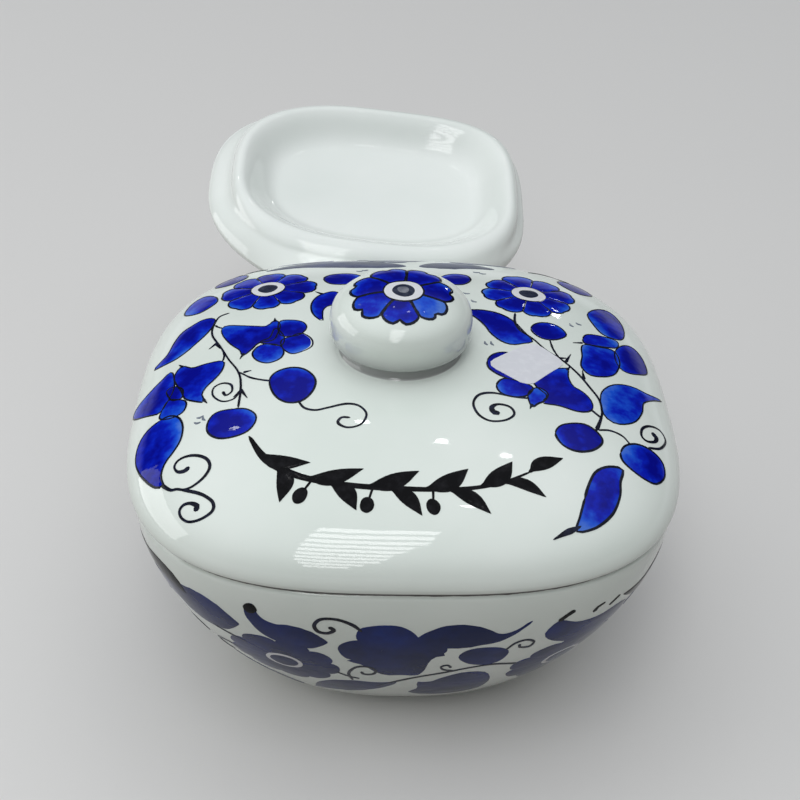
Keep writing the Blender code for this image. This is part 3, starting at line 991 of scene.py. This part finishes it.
def blade(sheet, spine, widths, tip=0.0):
    # a leaf drawn along its spine; tip is the share of it, from its start, that is dipped in black
    line = flow(spine)
    stroke(sheet, "wash", line, widths, "wash", mark=leafMark)
    if tip:
        even = evenly(line, 200)
        stroke(sheet, "brush", even[:int(200 * tip)], [widths[0] * 1.05, widths[1] * 1.05, widths[1] * 0.8])


def vine(sheet, points, width=0.29, ends=(0.8, 1.0), paint="line"):
    widths = brushWidth(width)
    widths[0], widths[-1] = width * ends[0], width * ends[1]
    stroke(sheet, paint, flow(points), widths, mark=longMark)


def thorn(sheet, root, tip, width=0.5):
    stroke(sheet, "line", [root, tip], [width, width * 0.6, 0.08])


def ticks(sheet, *places):
    for x, y, angle in places:
        shape = place(flow([(-0.9, 0.15), (0, -0.15), (0.9, 0.2)]), (x, y), angle)
        stroke(sheet, "tick", shape, [0.12, 0.3, 0.14])


lidSheet = {"name": "lid", "surface": onLid}
knobSheet = {"name": "knob", "surface": onKnob}
bowlSheet = {"name": "bowl", "surface": onBowl}


def paintKnob(sheet):
    rosette(sheet, 0.4, -1.2, 13.5, 7, 4.7, 2.9, turn=-95, width=0.36, between=0.38, notch=0.11,
            tones=[0.0, 0.34, -0.04, 0.0, 0.0, -0.03, 0.06])
    dab(sheet, "pale", ringOf(0.3, -0.9, 1.5, 0.1), "top")


def paintLeftFlowers(sheet):
    rosette(sheet, -34.5, 32, 11.9, 8, 4.2, 2.5, turn=-92)
    petal(sheet, [
        (-47.2, 14.2), (-45.5, 15.2), (-41.5, 13.8), (-38, 12.6), (-35, 12.0), (-32.9, 14.6), (-31.6, 11.8),
        (-32.5, 8), (-33.8, 4.8), (-37.6, 4.2), (-39.5, 1.5), (-41.6, -0.9), (-42.6, 2), (-45, 5.5),
        (-47, 10.5),
    ], -0.04, 100)
    petal(sheet, [
        (-31.8, 13.3), (-28.6, 13.8), (-25.9, 12.5), (-25.2, 9.6), (-26.8, 6.6), (-29.1, 5.9), (-32, 7.2),
    ], -0.05, 90)
    petal(sheet, [
        (-37.6, 2.7), (-34.8, 3.2), (-31.9, 1.6), (-30.9, -1.6), (-31.7, -4.4), (-34.5, -5.7), (-37.6, -3.9),
        (-39.1, -0.5),
    ], 0.10, -70)
    petal(sheet, [
        (-29.1, 5.9), (-26.5, 7.1), (-24.1, 4.2), (-23.8, 0.6), (-26.2, -1.7), (-28.9, -2.4), (-31.3, 0.5),
        (-31.7, 4.2),
    ], 0.02, -60)
    petal(sheet, [
        (-37.3, 4.6), (-34.7, 6.3), (-33.0, 10.4), (-31.0, 6.2), (-31.6, 2.0), (-34.8, 3.0),
    ], -0.12, 0)
    thorn(sheet, (-33.0, 13.6), (-32.8, 15.6))
    thorn(sheet, (-41.4, 0.3), (-42.2, -2.4))
    petal(sheet, [
        (-61.3, -0.2), (-64.0, -2.6), (-68.4, -6.0), (-73.4, -8.6), (-70, -13.3), (-62.8, -16.8),
        (-60.1, -17.0), (-59.0, -13.2), (-58.6, -9.2), (-59.7, -4.0),
    ], 0.0, 130)
    petal(sheet, [
        (-59.9, -17.2), (-59.5, -19.7), (-56.0, -21.0), (-53.0, -19.9), (-53.2, -16.4), (-56.4, -14.3),
        (-59.1, -13.6),
    ], 0.08, -60)
    petal(sheet, [
        (-46.6, -2.0), (-51.0, -1.6), (-54.9, -1.9), (-57.5, 0.2), (-59.1, -0.4), (-59.7, -4.0), (-58, -8),
        (-55.8, -11.6), (-53.9, -15.0), (-50.3, -17.2), (-47.9, -17.9), (-49.4, -14.9), (-49.0, -12.2),
        (-47.4, -9.5), (-46.2, -6.1),
    ], -0.04, -20)
    petal(sheet, [(-60.7, -9.3), (-58.8, -8.2), (-55.8, -10.6), (-55.1, -14.2), (-57.9, -13.9)], -0.10, 0)
    thorn(sheet, (-57.8, 0), (-59.2, 1.9))
    thorn(sheet, (-48.6, -16.8), (-47.0, -18.7))


def paintLeftSprays(sheet):
    petal(sheet, [
        (-48.5, 33.7), (-51.8, 36.8), (-55.0, 35.7), (-57.3, 31.5), (-57.1, 28.2), (-53.5, 26.3),
        (-50.0, 27.7), (-47.8, 30.2),
    ], 0.08)
    petal(sheet, [
        (-48.8, 20.4), (-52.0, 21.6), (-55.3, 20.3), (-58.6, 18.5), (-61.1, 14.7), (-63.4, 9.7),
        (-67.5, 6.0), (-61.5, 5.2), (-57.7, 7.0), (-54.6, 10), (-51.8, 13.1), (-49.6, 16.6),
    ], 0.0, -60)
    petal(sheet, [
        (-17.5, 28.2), (-20.0, 27.4), (-22.2, 25.0), (-23.5, 20.9), (-23.3, 16.3), (-21.3, 12.9),
        (-21.1, 17.2), (-20.0, 20.0), (-17.8, 21.5), (-16.2, 25),
    ], -0.05)
    thorn(sheet, (-20.6, 26.6), (-22.6, 28.4))
    petal(sheet, [
        (-20.9, 37.0), (-19.1, 40.2), (-14.5, 41.4), (-11.4, 39.5), (-11.6, 35.6), (-14.8, 33.4),
        (-19.0, 33.4),
    ], -0.1)
    petal(sheet, [
        (-59.3, -20.4), (-56.6, -20.0), (-53.6, -21.6), (-51.5, -25), (-50.9, -29), (-51.9, -32.1),
        (-53.6, -34.9), (-54.0, -38), (-53.0, -40.6), (-55.2, -40.4), (-58.2, -38), (-61.4, -34.6),
        (-64, -30.4), (-64.5, -25.8), (-62.9, -22.4),
    ], 0.0, 20, 0.24)
    petal(sheet, [
        (-39.5, -22.2), (-36.4, -22.7), (-34.0, -24.7), (-33.6, -27.2), (-35.0, -29.9), (-38, -31.1),
        (-41.5, -30.9), (-44.4, -28.5), (-45.0, -25.1), (-43.6, -22.6),
    ], -0.06, 25, 0.24)
    petal(sheet, [
        (-32.6, -13.4), (-31.8, -10.2), (-28.8, -8.6), (-25.6, -9.2), (-23, -11.8), (-21.7, -15.2),
        (-22.2, -19), (-24.2, -21.6), (-27.6, -21.4), (-30.6, -18.4),
    ], -0.10, 80, 0.24)
    vine(sheet, [
        (-53.4, -40.4), (-51.0, -42.3), (-49.3, -42.6), (-47.5, -43.2), (-45.4, -42.8), (-43.2, -41.1),
        (-42.2, -38.8), (-43.0, -36.6), (-45.1, -35.1), (-47.7, -34.5), (-50.0, -35.0), (-50.8, -36.5),
        (-49.8, -38.1), (-48.1, -38.4), (-47.0, -37.6),
    ], 0.32, (1.6, 2.1))
    vine(sheet, [
        (-48.2, -43.0), (-44.3, -44.9), (-42.2, -46.5), (-40.9, -48.2), (-40.9, -49.9), (-42.2, -50.9),
        (-44.2, -51.4), (-46.4, -51.1), (-48.0, -49.7), (-48.4, -48.0), (-47.4, -46.9), (-45.7, -47.0),
        (-44.3, -48.1), (-44.9, -49.1),
    ], 0.34, (1, 2.1))
    vine(sheet, [
        (-24.7, -21.3), (-23.1, -23.9), (-20.6, -25.0), (-17.8, -24.5), (-14.0, -23.8), (-11.1, -24.9),
        (-9.4, -27.9), (-10.6, -31.2), (-13.5, -31.9), (-15.6, -30.1), (-14.9, -28.3), (-13.0, -28.6),
    ])
    vine(sheet, [
        (-44.7, 21.7), (-47.4, 20.9), (-48.9, 18.0), (-49.9, 14.4), (-49.7, 10.9), (-48.0, 5.8),
        (-45.3, -1.4), (-42.1, -7.1), (-40.4, -11.1), (-39.2, -16.2), (-38.5, -21.9),
    ], 0.3)
    vine(sheet, [(-48.9, 16.8), (-48.2, 15.6), (-47.0, 14.4)], 0.25)
    vine(sheet, [(-41.2, -8.4), (-37.9, -11.1), (-34.9, -12.5), (-32.3, -13.3)], 0.26)
    vine(sheet, [(-46.7, -1.8), (-46.6, 0.6), (-47.2, 3.3)], 0.25)
    vine(sheet, [
        (-39.4, -16.6), (-40.5, -18.7), (-43.2, -18.9), (-46.1, -16.3), (-46.8, -13.2), (-44.9, -11.9),
        (-42.4, -13.0), (-41.5, -15.6), (-42.7, -16.9), (-43.9, -15.3),
    ], 0.26, (1, 1.6))
    thorn(sheet, (-48.7, 7.6), (-51.0, 5.3))
    thorn(sheet, (-40.2, -8.6), (-38.2, -8.2))
    thorn(sheet, (-39.4, -15.4), (-36.9, -18.9))
    thorn(sheet, (-39.1, -15.8), (-40.6, -18.0))
    thorn(sheet, (-48.9, 7.0), (-47.9, 4.4))
    ticks(sheet, (-47.6, -23.2, 10), (-47.9, -24.9, -12), (-46.5, -23.9, -60))


def paintRightFlowers(sheet):
    rosette(sheet, 32, 30.5, 12.1, 8, 4.2, 2.4, turn=-78)
    petal(sheet, [
        (20.7, -5.7), (22.2, -2.4), (25.4, -0.8), (29.1, -2.2), (30.5, -7), (28.5, -12.2), (24.5, -12),
        (21.2, -9),
    ], -0.08)
    petal(sheet, [
        (21.9, -15.4), (23.8, -12.5), (27.1, -12.8), (30.2, -14.6), (28.4, -17.8), (25.3, -18.9),
        (22.6, -18.1),
    ], 0.02, 200)
    petal(sheet, [
        (44.3, -19.3), (44.5, -16.3), (43.1, -13.7), (41.1, -12.1), (40.7, -8.6), (41.4, -4.6), (38.5, -5.4),
        (33.0, -4.0), (30.5, -9), (31.2, -14.2), (32.6, -16.1), (33.2, -17.6), (31.6, -20.0), (35.5, -20.3),
        (39.5, -21.4), (42.6, -20.9),
    ], -0.06, 60)
    petal(sheet, [
        (28.4, -18.3), (29.6, -15.8), (31.8, -14.6), (33.6, -16.4), (32.4, -19.0), (30.5, -20.4),
        (28.8, -21.7),
    ], 0.16, 90)
    thorn(sheet, (41.0, -5.6), (42.2, -3.6))
    thorn(sheet, (29.0, -20.8), (28.2, -22.6))
    petal(sheet, [
        (47.7, 25.8), (51.0, 31.0), (54.8, 32.4), (57.8, 28.6), (58.9, 22.4), (57.6, 17.4), (52.6, 16.6),
        (49.4, 20.6),
    ], 0.0)
    petal(sheet, [
        (55.9, 9.9), (58.4, 14.8), (61.7, 16.3), (64.9, 13), (65.9, 6.2), (61.8, 2.2), (58, 1), (56.0, 4),
    ], -0.06)
    petal(sheet, [
        (46.6, 8.4), (51, 9.3), (55.5, 9.8), (57, 5), (55.8, 0), (53.8, -3.2), (50.5, -5.2), (47, -5.6),
        (45.4, -2.5), (46.2, 2.5),
    ], 0.04, 160)
    petal(sheet, [
        (46.6, 11.6), (47.7, 14.2), (51.5, 15.4), (56.5, 15.7), (56.2, 11.9), (51.0, 9.8), (47.3, 9.4),
    ], 0.06, 60)
    thorn(sheet, (46.6, 9.4), (43.8, 8.4), 0.4)


def paintRightSprays(sheet):
    petal(sheet, [
        (14.5, 20.4), (17.1, 19.6), (20.2, 19.5), (24.1, 18.1), (27.6, 15.0), (30.4, 10.5), (33.0, 6.0),
        (30.6, 4.4), (27.6, 3.3), (24.8, 4.6), (22.4, 8.0), (21.0, 11.7), (18.6, 15.8),
    ], -0.08, -100)
    petal(sheet, [
        (32.4, 11.9), (33.6, 14.8), (36.5, 16.1), (39.8, 15.2), (42.0, 11.8), (40.0, 8.9), (36.8, 7.8),
        (34.1, 9.0),
    ], -0.12)
    petal(sheet, [
        (47.2, -16.3), (48.6, -12.3), (52.1, -8.3), (56.0, -6.1), (60.0, -5.3), (64.0, -5.4), (69.5, -3.6),
        (64.9, -7.4), (61, -11), (59.2, -15.3), (55.6, -20.1), (51.4, -22.6), (48.2, -22.8), (46.6, -20.5),
    ], 0.10, 170)
    petal(sheet, [
        (33.0, -29.8), (34.6, -27.0), (38.1, -25.6), (41.1, -25.6), (43.4, -27.6), (43.8, -30.2),
        (40.9, -33.1), (37.1, -34.2), (34.2, -32.9),
    ], -0.14, 180, 0.26)
    petal(sheet, [
        (47.8, -32.2), (49.8, -29.5), (53.5, -28.0), (57.4, -28.5), (60.1, -30.7), (59.6, -34.6),
        (56.1, -37.7), (52.7, -37.6), (49.8, -36.2), (47.9, -34.4),
    ], 0.02, 140, 0.26)
    petal(sheet, [
        (37.8, -46.9), (38.7, -43.5), (40.6, -39.3), (43.8, -37.0), (47.3, -36.8), (46.2, -40.4),
        (45.8, -43.7), (44.3, -48.0), (42.2, -51.2), (39.5, -53.9), (36.2, -55.4), (36.8, -51.5),
    ], 0.04, -90, 0.28)
    stroke(sheet, "line", flow([(37.1, -53.9), (35.8, -55.0), (33.9, -56.6), (31.5, -58.9)]),
           [0.15, 0.5, 0.72, 0.55, 0.32, 0.14])
    vine(sheet, [
        (56.4, -28.0), (60.9, -26.2), (64.3, -22.2), (63.4, -19.4), (59.9, -19.8), (56.9, -21.9),
        (55.7, -24.6), (56.8, -25.8), (59.5, -24.9), (60.8, -22.9), (59.5, -22.2),
    ], 0.3, (1, 3.2))
    vine(sheet, [
        (28.6, -18.9), (25, -18.9), (20.6, -18.3), (17.4, -19.6), (15.8, -22.9), (16.6, -26.4),
        (19.0, -28.1), (22.3, -27.3), (24.4, -25.0), (23.7, -22.6), (21.3, -22.1), (19.7, -23.4),
        (20.0, -25.1), (21.2, -24.8),
    ], 0.28, (1, 3.2))
    vine(sheet, [
        (28.1, 18.9), (28.2, 14.4), (29.8, 10.3), (33.1, 7.2), (36.7, 2.3), (40.6, -1.3), (43.9, -6.5),
        (45.8, -11.6), (47.0, -15.6), (46.4, -20.0), (45.2, -22.9), (43.1, -26.8),
    ], 0.3, (1, 1.8))
    vine(sheet, [(43.7, -26.5), (46.8, -25.9), (49.7, -26.7), (51.2, -28.7)], 0.26)
    vine(sheet, [(37.6, 7.8), (38.4, 3.7), (39.7, -0.2)], 0.26)
    vine(sheet, [(43.6, -20.0), (45.6, -22.3)], 0.28)
    thorn(sheet, (41.4, -1.8), (43.2, 2.6))
    thorn(sheet, (45.0, -8.2), (45.4, -4.2))
    thorn(sheet, (39.8, -0.4), (42.0, 0.2))
    ticks(sheet, (20.8, 2.9, -70), (22.4, 3.0, -70), (43.2, 17.2, -50), (45.2, 18.7, -20))
    ticks(sheet, (16.3, 28.4, -20), (18, 24.0, -40))


def paintBackOfLid(sheet):
    # most blues along the back are the shaded wash, painted shade on the back of the lid
    blade(sheet, [
        (-36.0, 47.5), (-27.5, 50.5), (-18.0, 52.0), (-8.0, 52.2), (1.0, 50.8),
    ], [0.5, 2.4, 4.4, 5.0, 4.0, 1.0])
    blade(sheet, [(4.8, 50.6), (10.5, 52.0), (17.5, 51.5), (25.0, 48.5)], [1.0, 3.8, 4.4, 2.6, 0.5])
    shadedWashRosette(sheet, -3, 66, 10.5, 9, 3.6, 2.6, stretch=1.0)
    blot(sheet, [(-20, 62), (-26, 64), (-33, 61), (-34, 56.5), (-28, 55.5), (-21, 57.5)])
    blot(sheet, [(14, 60), (20, 63.5), (27, 62), (32, 57.5), (27, 55), (18, 56)])
    petal(sheet, [(-44, 49), (-48, 47), (-49, 42), (-45, 40), (-41, 43), (-41, 47)])
    petal(sheet, [(44, 47), (48, 46), (50, 41), (46, 38), (42, 41), (41, 45)])
    vine(sheet, [(-36, 50), (-40, 52), (-44, 54), (-46, 52), (-44, 50.5), (-43, 52)], 0.28)
    vine(sheet, [(34, 50), (38, 52), (43, 53), (45, 50.5), (42.6, 49.5), (42, 51)], 0.28)
    petal(sheet, [
        (10.8, 40.6), (13.8, 42.6), (17.2, 41.4), (18.0, 37.6), (16.0, 34.4), (12.4, 34.6), (10.2, 37.4),
    ], -0.1)
    ticks(sheet, (-12, 44, 10), (-10.5, 45, 20), (20, 44.5, -10), (21.5, 43.4, -20))


def paintSprig(sheet):
    # one olive branch in black brushwork, hung across the front of the lid
    stem = flow([
        (-34.5, -31.5), (-30.0, -39.5), (-22.5, -46.0), (-11, -50.6), (1, -52.2), (12, -50.9), (20.5, -47.4),
        (27.0, -42.4),
    ])
    stroke(sheet, "brush", stem, [0.35, 0.95, 0.8, 0.7, 0.75, 0.65, 0.55, 0.45, 0.2], mark=longMark)
    even = evenly(stem, 200)
    leaves = (  # place along the stem out of 200, side, length, half width
        (17, 1, 11.5, 2.0), (33, -1, 10.0, 1.8), (53, 1, 12.5, 2.2), (68, -1, 10.5, 1.9),
        (91, 1, 13.0, 2.3), (106, -1, 10.5, 1.9), (128, 1, 12.5, 2.2), (143, -1, 10.5, 1.9),
        (163, 1, 11.5, 2.0), (178, -1, 9.0, 1.6), (197, 0, 9.5, 1.7),
    )
    for at, way, long, wide in leaves:
        run = even[at] - even[at - 4]
        heading = math.degrees(math.atan2(run[1], run[0])) + way * (34 + chance.uniform(-5, 5))
        bow = -way * chance.uniform(0.7, 1.4) if way else 0.7
        line = place(flow([(0, 0), (long * 0.45, bow), (long, -bow * 0.3)]), even[at], heading)
        widths = [0.22, *(wide * np.array([0.3, 0.72, 0.95, 1, 0.9, 0.66, 0.34])), 0.06]
        stroke(sheet, "brush", line, widths, mark=leafMark)
    for at, far in ((58, 4.6), (96, 4.8), (134, 4.6)):
        run = even[at] - even[at - 4]
        run /= np.linalg.norm(run)
        middle = even[at] - np.array([-run[1], run[0]]) * far - run * 0.4
        stroke(sheet, "brush", [even[at], middle], [0.3, 0.26])
        olive = ringOf(0, 0, 1.75, 0.05) * (1.2, 0.92)
        dab(sheet, "brush", place(olive, middle, math.degrees(math.atan2(run[1], run[0])) - 80), "line")


def paintBowlSide(sheet, turn):
    # one third of the bowl's wall; turn carries it round. Its blues are the shaded wash, painted shade for
    # the wall under the lid
    def at(*points):
        return [(x + turn, y) for x, y in points]

    blade(sheet, at(
        (-34.3, -4.4), (-34.8, -7.6), (-33.8, -10.8), (-31.0, -13.9), (-27.0, -15.4), (-23.0, -16.2),
        (-18.4, -16.6),
    ), [0.9, 1.5, 2.1, 3.5, 4.8, 5.0, 3.9, 0.8], 0.16)
    shadedWashRosette(sheet, turn - 31.5, -30.5, 12.6, 9, 4.2, 3.2, turn=-90)
    shadedWashRosette(sheet, turn + 44.5, -34.0, 13.4, 9, 4.7, 3.7, turn=-70)
    blot(sheet, at(
        (-10.8, -10.3), (-7.9, -8.8), (-3.9, -8.3), (-0.5, -9.0), (2.4, -11.7), (3.4, -15), (0, -19),
        (-6, -19.5), (-11.2, -15),
    ))
    blot(sheet, at(
        (-16.3, -19.6), (-14.6, -16.4), (-10.7, -15.0), (-6, -18), (-6, -23), (-10, -25.5), (-14.5, -24.6),
    ))
    blot(sheet, at((1, -12), (3.8, -13.5), (7.2, -14.3), (10.2, -17), (10.4, -20.6), (6, -22), (0, -20)))
    blot(sheet, at(
        (-14.5, -25.8), (-10, -24), (-6, -20), (0, -18.5), (4, -18), (8.6, -19.5), (10.8, -21.9),
        (7.9, -23.2), (6.5, -27.1), (6.1, -30.5), (4.2, -34.8), (-0.3, -34.6), (-4.0, -34.9), (-7.3, -33),
        (-10.3, -28.6), (-12.9, -27.0),
    ))
    blade(sheet, at(
        (2.6, -15.4), (7.0, -13.9), (12.5, -13.2), (17.5, -13.6), (22.0, -14.2), (25.6, -12.4), (28.9, -8.3),
    ), [1.0, 3.2, 5.0, 5.3, 4.6, 2.8, 1.1, 0.45, 0.4])
    blot(sheet, at(
        (14.0, -23.4), (15.6, -19.8), (19.2, -18.6), (23.6, -19.2), (26.2, -21.9), (25.2, -26.7),
        (22.0, -28.6), (17.2, -27.4),
    ))
    blade(sheet, at(
        (-29.0, -52.8), (-22.5, -47.8), (-15.0, -45.4), (-7.5, -43.8), (-1.6, -41.0),
    ), [0.5, 3.6, 5.6, 4.8, 2.6, 0.5])
    blade(sheet, at((-52, -41), (-46.5, -46.6), (-41.0, -50.6), (-35.0, -54.6)), [0.6, 2.4, 2.8, 1.8, 0.5])
    blot(sheet, at(
        (2.6, -51.0), (5.2, -46.6), (4.6, -40.5), (8.3, -40.4), (11.6, -36.9), (16.9, -33.4), (22.4, -33.8),
        (25.2, -37.6), (26.6, -44), (25, -51), (17, -54.5), (8, -54.0),
    ))
    blot(sheet, at(
        (35.6, -10.0), (33.6, -13.0), (33.4, -16.2), (36.6, -20.0), (43.0, -23.4), (50.0, -23.6),
        (56.2, -20.6), (56.5, -15.6), (52.0, -13.4), (47.0, -14.2), (41.2, -13.3), (38.2, -11.6),
    ))
    stroke(sheet, "brush", at((35.4, -10.4), (36.6, -8.9), (38.4, -7.2)), [0.75, 0.6, 0.75])
    blade(sheet, at(
        (-66, -15.5), (-60, -13.6), (-55.5, -13.2), (-51.0, -14.0), (-46.5, -14.3), (-42.4, -14.5),
        (-38.8, -14.6),
    ), [1.8, 2.6, 3.2, 5.4, 7.0, 7.2, 5.6, 0.9])
    blot(sheet, at(
        (58, -19.5), (60, -14.5), (66, -11), (74, -10.5), (79, -13.5), (81, -20), (76, -23), (66, -22.5),
    ))
    stroke(sheet, "brush", flow(at(
        (52.4, -9.8), (56.0, -11.2), (60.5, -12.4), (66, -11.8), (74, -9.4), (82, -7.8), (88, -7.6),
        (92.5, -11.0),
    )), [0.3, 1.7, 3.1, 3.8, 2.9, 2.2, 3.0, 2.8, 0.9], mark=leafMark)
    blade(sheet, at((-56, -44.5), (-48, -46.5), (-41, -49.5), (-34, -54.0)), [0.5, 2.2, 2.4, 0.5])
    blot(sheet, at((66, -28), (72, -26.5), (77.5, -29), (79.5, -34), (76, -39), (69, -38), (65, -33)))
    blade(sheet, at((84, -44.5), (76, -46.6), (68, -46.4), (59, -44.0)), [0.5, 3.4, 3.8, 0.8])
    vine(sheet, at(
        (25.2, -20.6), (26.8, -17.6), (29.2, -16.6), (31.3, -18.1), (30.8, -20.4), (28.5, -20.1),
        (28.0, -18.5),
    ), 0.36, paint="stem")
    vine(sheet, at(
        (14.1, -31.9), (11.1, -30.8), (10.3, -28.9), (11.8, -28.0), (13.0, -29.6),
    ), 0.34, paint="stem")
    vine(sheet, at(
        (-8, -45), (-3.5, -41.1), (4.0, -36.4), (11.9, -32.8), (18.0, -30.1), (24.0, -28.9), (30.7, -30.5),
    ), 0.42, paint="stem")
    vine(sheet, at((-18.2, -34.0), (-15.4, -36.6), (-12.4, -38.2)), 0.34, paint="stem")
    vine(sheet, at(
        (-14.5, -39.5), (-15.0, -34.4), (-12.9, -30.2), (-9.9, -29.2), (-7.5, -31.2), (-8.1, -34.2),
        (-10.7, -34.6), (-11.4, -32.9),
    ), 0.45, paint="stem")
    vine(sheet, at(
        (-10.1, -11.0), (-12.2, -8.4), (-15.6, -6.6), (-19.1, -6.8), (-20.8, -9.2), (-20.2, -11.8),
        (-18.1, -12.3), (-16.5, -10.9), (-17.6, -9.7),
    ), 0.5, (0.6, 1.2))
    vine(sheet, at((-47.6, -20.8), (-43, -22.4), (-39.6, -23.8)), 0.36, paint="stem")
    vine(sheet, at((-44, -31), (-48, -30.5), (-52, -32.5), (-52.5, -36), (-49, -37)), 0.4, paint="stem")
    vine(sheet, at((58, -33), (61.5, -32.5), (65.5, -32.0)), 0.34, paint="stem")
    vine(sheet, at(
        (79, -34), (84, -36), (88, -33), (86, -29), (82.5, -30), (83.5, -32.5),
    ), 0.4, paint="stem")
    stroke(sheet, "brush", at((44.0, -10.9), (44.6, -9.3), (46.4, -8.4)), [0.62, 0.42, 0.34])
    stroke(sheet, "brush", at((48.4, -11.0), (50.8, -8.6)), [0.36, 0.42])


labelForm = {"corners": [(33.3, 5.6), (41.6, -2.5), (29.2, -14.9), (20.1, -6.7)], "round": 2.9, "bulge": 0.55}


def stickLabel(sheet):
    # the blank paper label beside the knob
    corners, bulge = np.array(labelForm["corners"]), labelForm["bulge"]
    outline = []
    for before, corner, after in zip(np.roll(corners, 1, 0), corners, np.roll(corners, -1, 0)):
        start = corner + (before - corner) * labelForm["round"] / np.linalg.norm(before - corner)
        end = corner + (after - corner) * labelForm["round"] / np.linalg.norm(after - corner)
        outline.append(bend(start, start + (corner - start) * bulge, end + (corner - end) * bulge, end, 8))
    dab(sheet, "paper", np.concatenate(outline), "heart")


paintKnob(knobSheet)
paintLeftFlowers(lidSheet)
paintLeftSprays(lidSheet)
paintRightFlowers(lidSheet)
paintRightSprays(lidSheet)
paintBackOfLid(lidSheet)
paintSprig(lidSheet)
stickLabel(lidSheet)
third = 2 * math.pi * bowlForm["halfWidth"] / 3
for k in range(3):
    paintBowlSide(bowlSheet, k * third)

bodies = {"lid": "cover", "knob": "cover", "bowl": "base"}
for (sheetName, paint), marks in painted.items():
    deselect()
    for mark in marks:
        mark.select_set(True)
    bpy.context.view_layer.objects.active = marks[0]
    bpy.ops.object.join()
    piece = bpy.context.active_object
    piece.name = piece.data.name = sheetName + paint.capitalize()
    piece.data.materials.clear()
    piece.data.materials.append(paints[paint])
    bpy.ops.object.shade_smooth_by_angle(angle=math.radians(42))
    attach(piece, bodies[sheetName])
    print("painted", piece.name, len(marks), "marks", len(piece.data.polygons), "faces")


# floor and light

floorLook = {
    "seen": (0.70, 0.695, 0.68), "bounced": (0.36, 0.34, 0.32), "rough": 0.6, "size": 6, "below": 0.2,
}
skyLook = {
    "colour": (0.95, 0.97, 1.0), "low": 0.05, "high": 1.28, "from": 0.4,
    "horizon": 0.62, "horizonFrom": 0.02, "horizonTo": 0.2,
}
slatLook = {
    "count": 10, "azimuth": -11, "from": 28, "step": 5.3, "away": 1.0, "tall": 0.058, "power": 0.9,
    "firstWide": 0.17, "widening": 0.05, "fullFrom": 3, "fullWide": 0.31, "narrowing": 0.006,
}
sideWindow = {"azimuth": -98, "elevation": 14, "away": 1.2, "wide": 1.0, "tall": 0.6, "power": 4.4}
spotLook = {
    "away": 1.1, "size": 0.026, "power": 0.042,
    "at": ((172, 56), (-152, 65.5), (-176, 50), (-150, 43), (156, 57), (161, 18), (127, 80)),
}


def seenDirectly(tree):
    # 1 for what the camera sees, straight or in a reflection
    ways = tree.nodes.new("ShaderNodeLightPath").outputs
    total = ways["Is Camera Ray"]
    for ray in ("Is Glossy Ray", "Is Transmission Ray"):
        total = reckon(tree, "ADD", total, ways[ray])
        total.node.use_clamp = True
    return total


deselect()
bpy.ops.mesh.primitive_plane_add(size=floorLook["size"], location=(potX, potY, -floorLook["below"] * mm))
floor = bpy.context.active_object
floor.name = "floor"
floorFinish, tree, shader = newFinish("paleFloor")
feed(tree, shader["Base Color"], mixed(tree, seenDirectly(tree), floorLook["bounced"], floorLook["seen"]))
feed(tree, shader["Roughness"], floorLook["rough"])
floor.data.materials.append(floorFinish)

world = bpy.data.worlds.new("studio")
bpy.context.scene.world = world
world.use_nodes = True
tree = world.node_tree
background = tree.nodes["Background"].inputs
height = heightOf(tree, tree.nodes.new("ShaderNodeTexCoord").outputs["Generated"])
s = skyLook
glow = rescale(tree, height, s["from"], 1.0, s["low"], s["high"], smooth=True)
low = rescale(tree, height, s["horizonFrom"], s["horizonTo"], s["horizon"], 0.0, smooth=True)
low = reckon(tree, "MULTIPLY", low, seenDirectly(tree))
feed(tree, background["Color"], s["colour"])
feed(tree, background["Strength"], reckon(tree, "MAXIMUM", low, glow))


def softbox(name, azimuth, elevation, away, wide, tall, power):
    # azimuth 0 is in front of the pot, 90 to its right
    a, e = math.radians(azimuth), math.radians(elevation)
    way = Vector((math.sin(a) * math.cos(e), -math.cos(a) * math.cos(e), math.sin(e)))
    aim = Vector((potX, potY, 0.08))
    bpy.ops.object.light_add(type="AREA", location=aim + way * away)
    lamp = bpy.context.active_object
    lamp.name = name
    lamp.rotation_euler = way.to_track_quat("Z", "Y").to_euler()
    lamp.data.shape = "RECTANGLE"
    lamp.data.size, lamp.data.size_y = wide, tall
    lamp.data.energy = power


s = slatLook
for slat in range(s["count"]):  # a tall slatted window, from the front up to overhead
    widening, narrowing = s["firstWide"] + s["widening"] * slat, s["fullWide"] - s["narrowing"] * slat
    wide = widening if slat < s["fullFrom"] else narrowing
    elevation = s["from"] + s["step"] * slat
    softbox("windowSlat", s["azimuth"], elevation, s["away"], wide, s["tall"], s["power"] * wide)
softbox("leftWindow", **sideWindow)
s = spotLook
for azimuth, elevation in s["at"]:
    softbox("ceilingSpot", azimuth, elevation, s["away"], s["size"], s["size"], s["power"])

scene = bpy.context.scene
scene.view_settings.view_transform = "Standard"
print("stage lit")
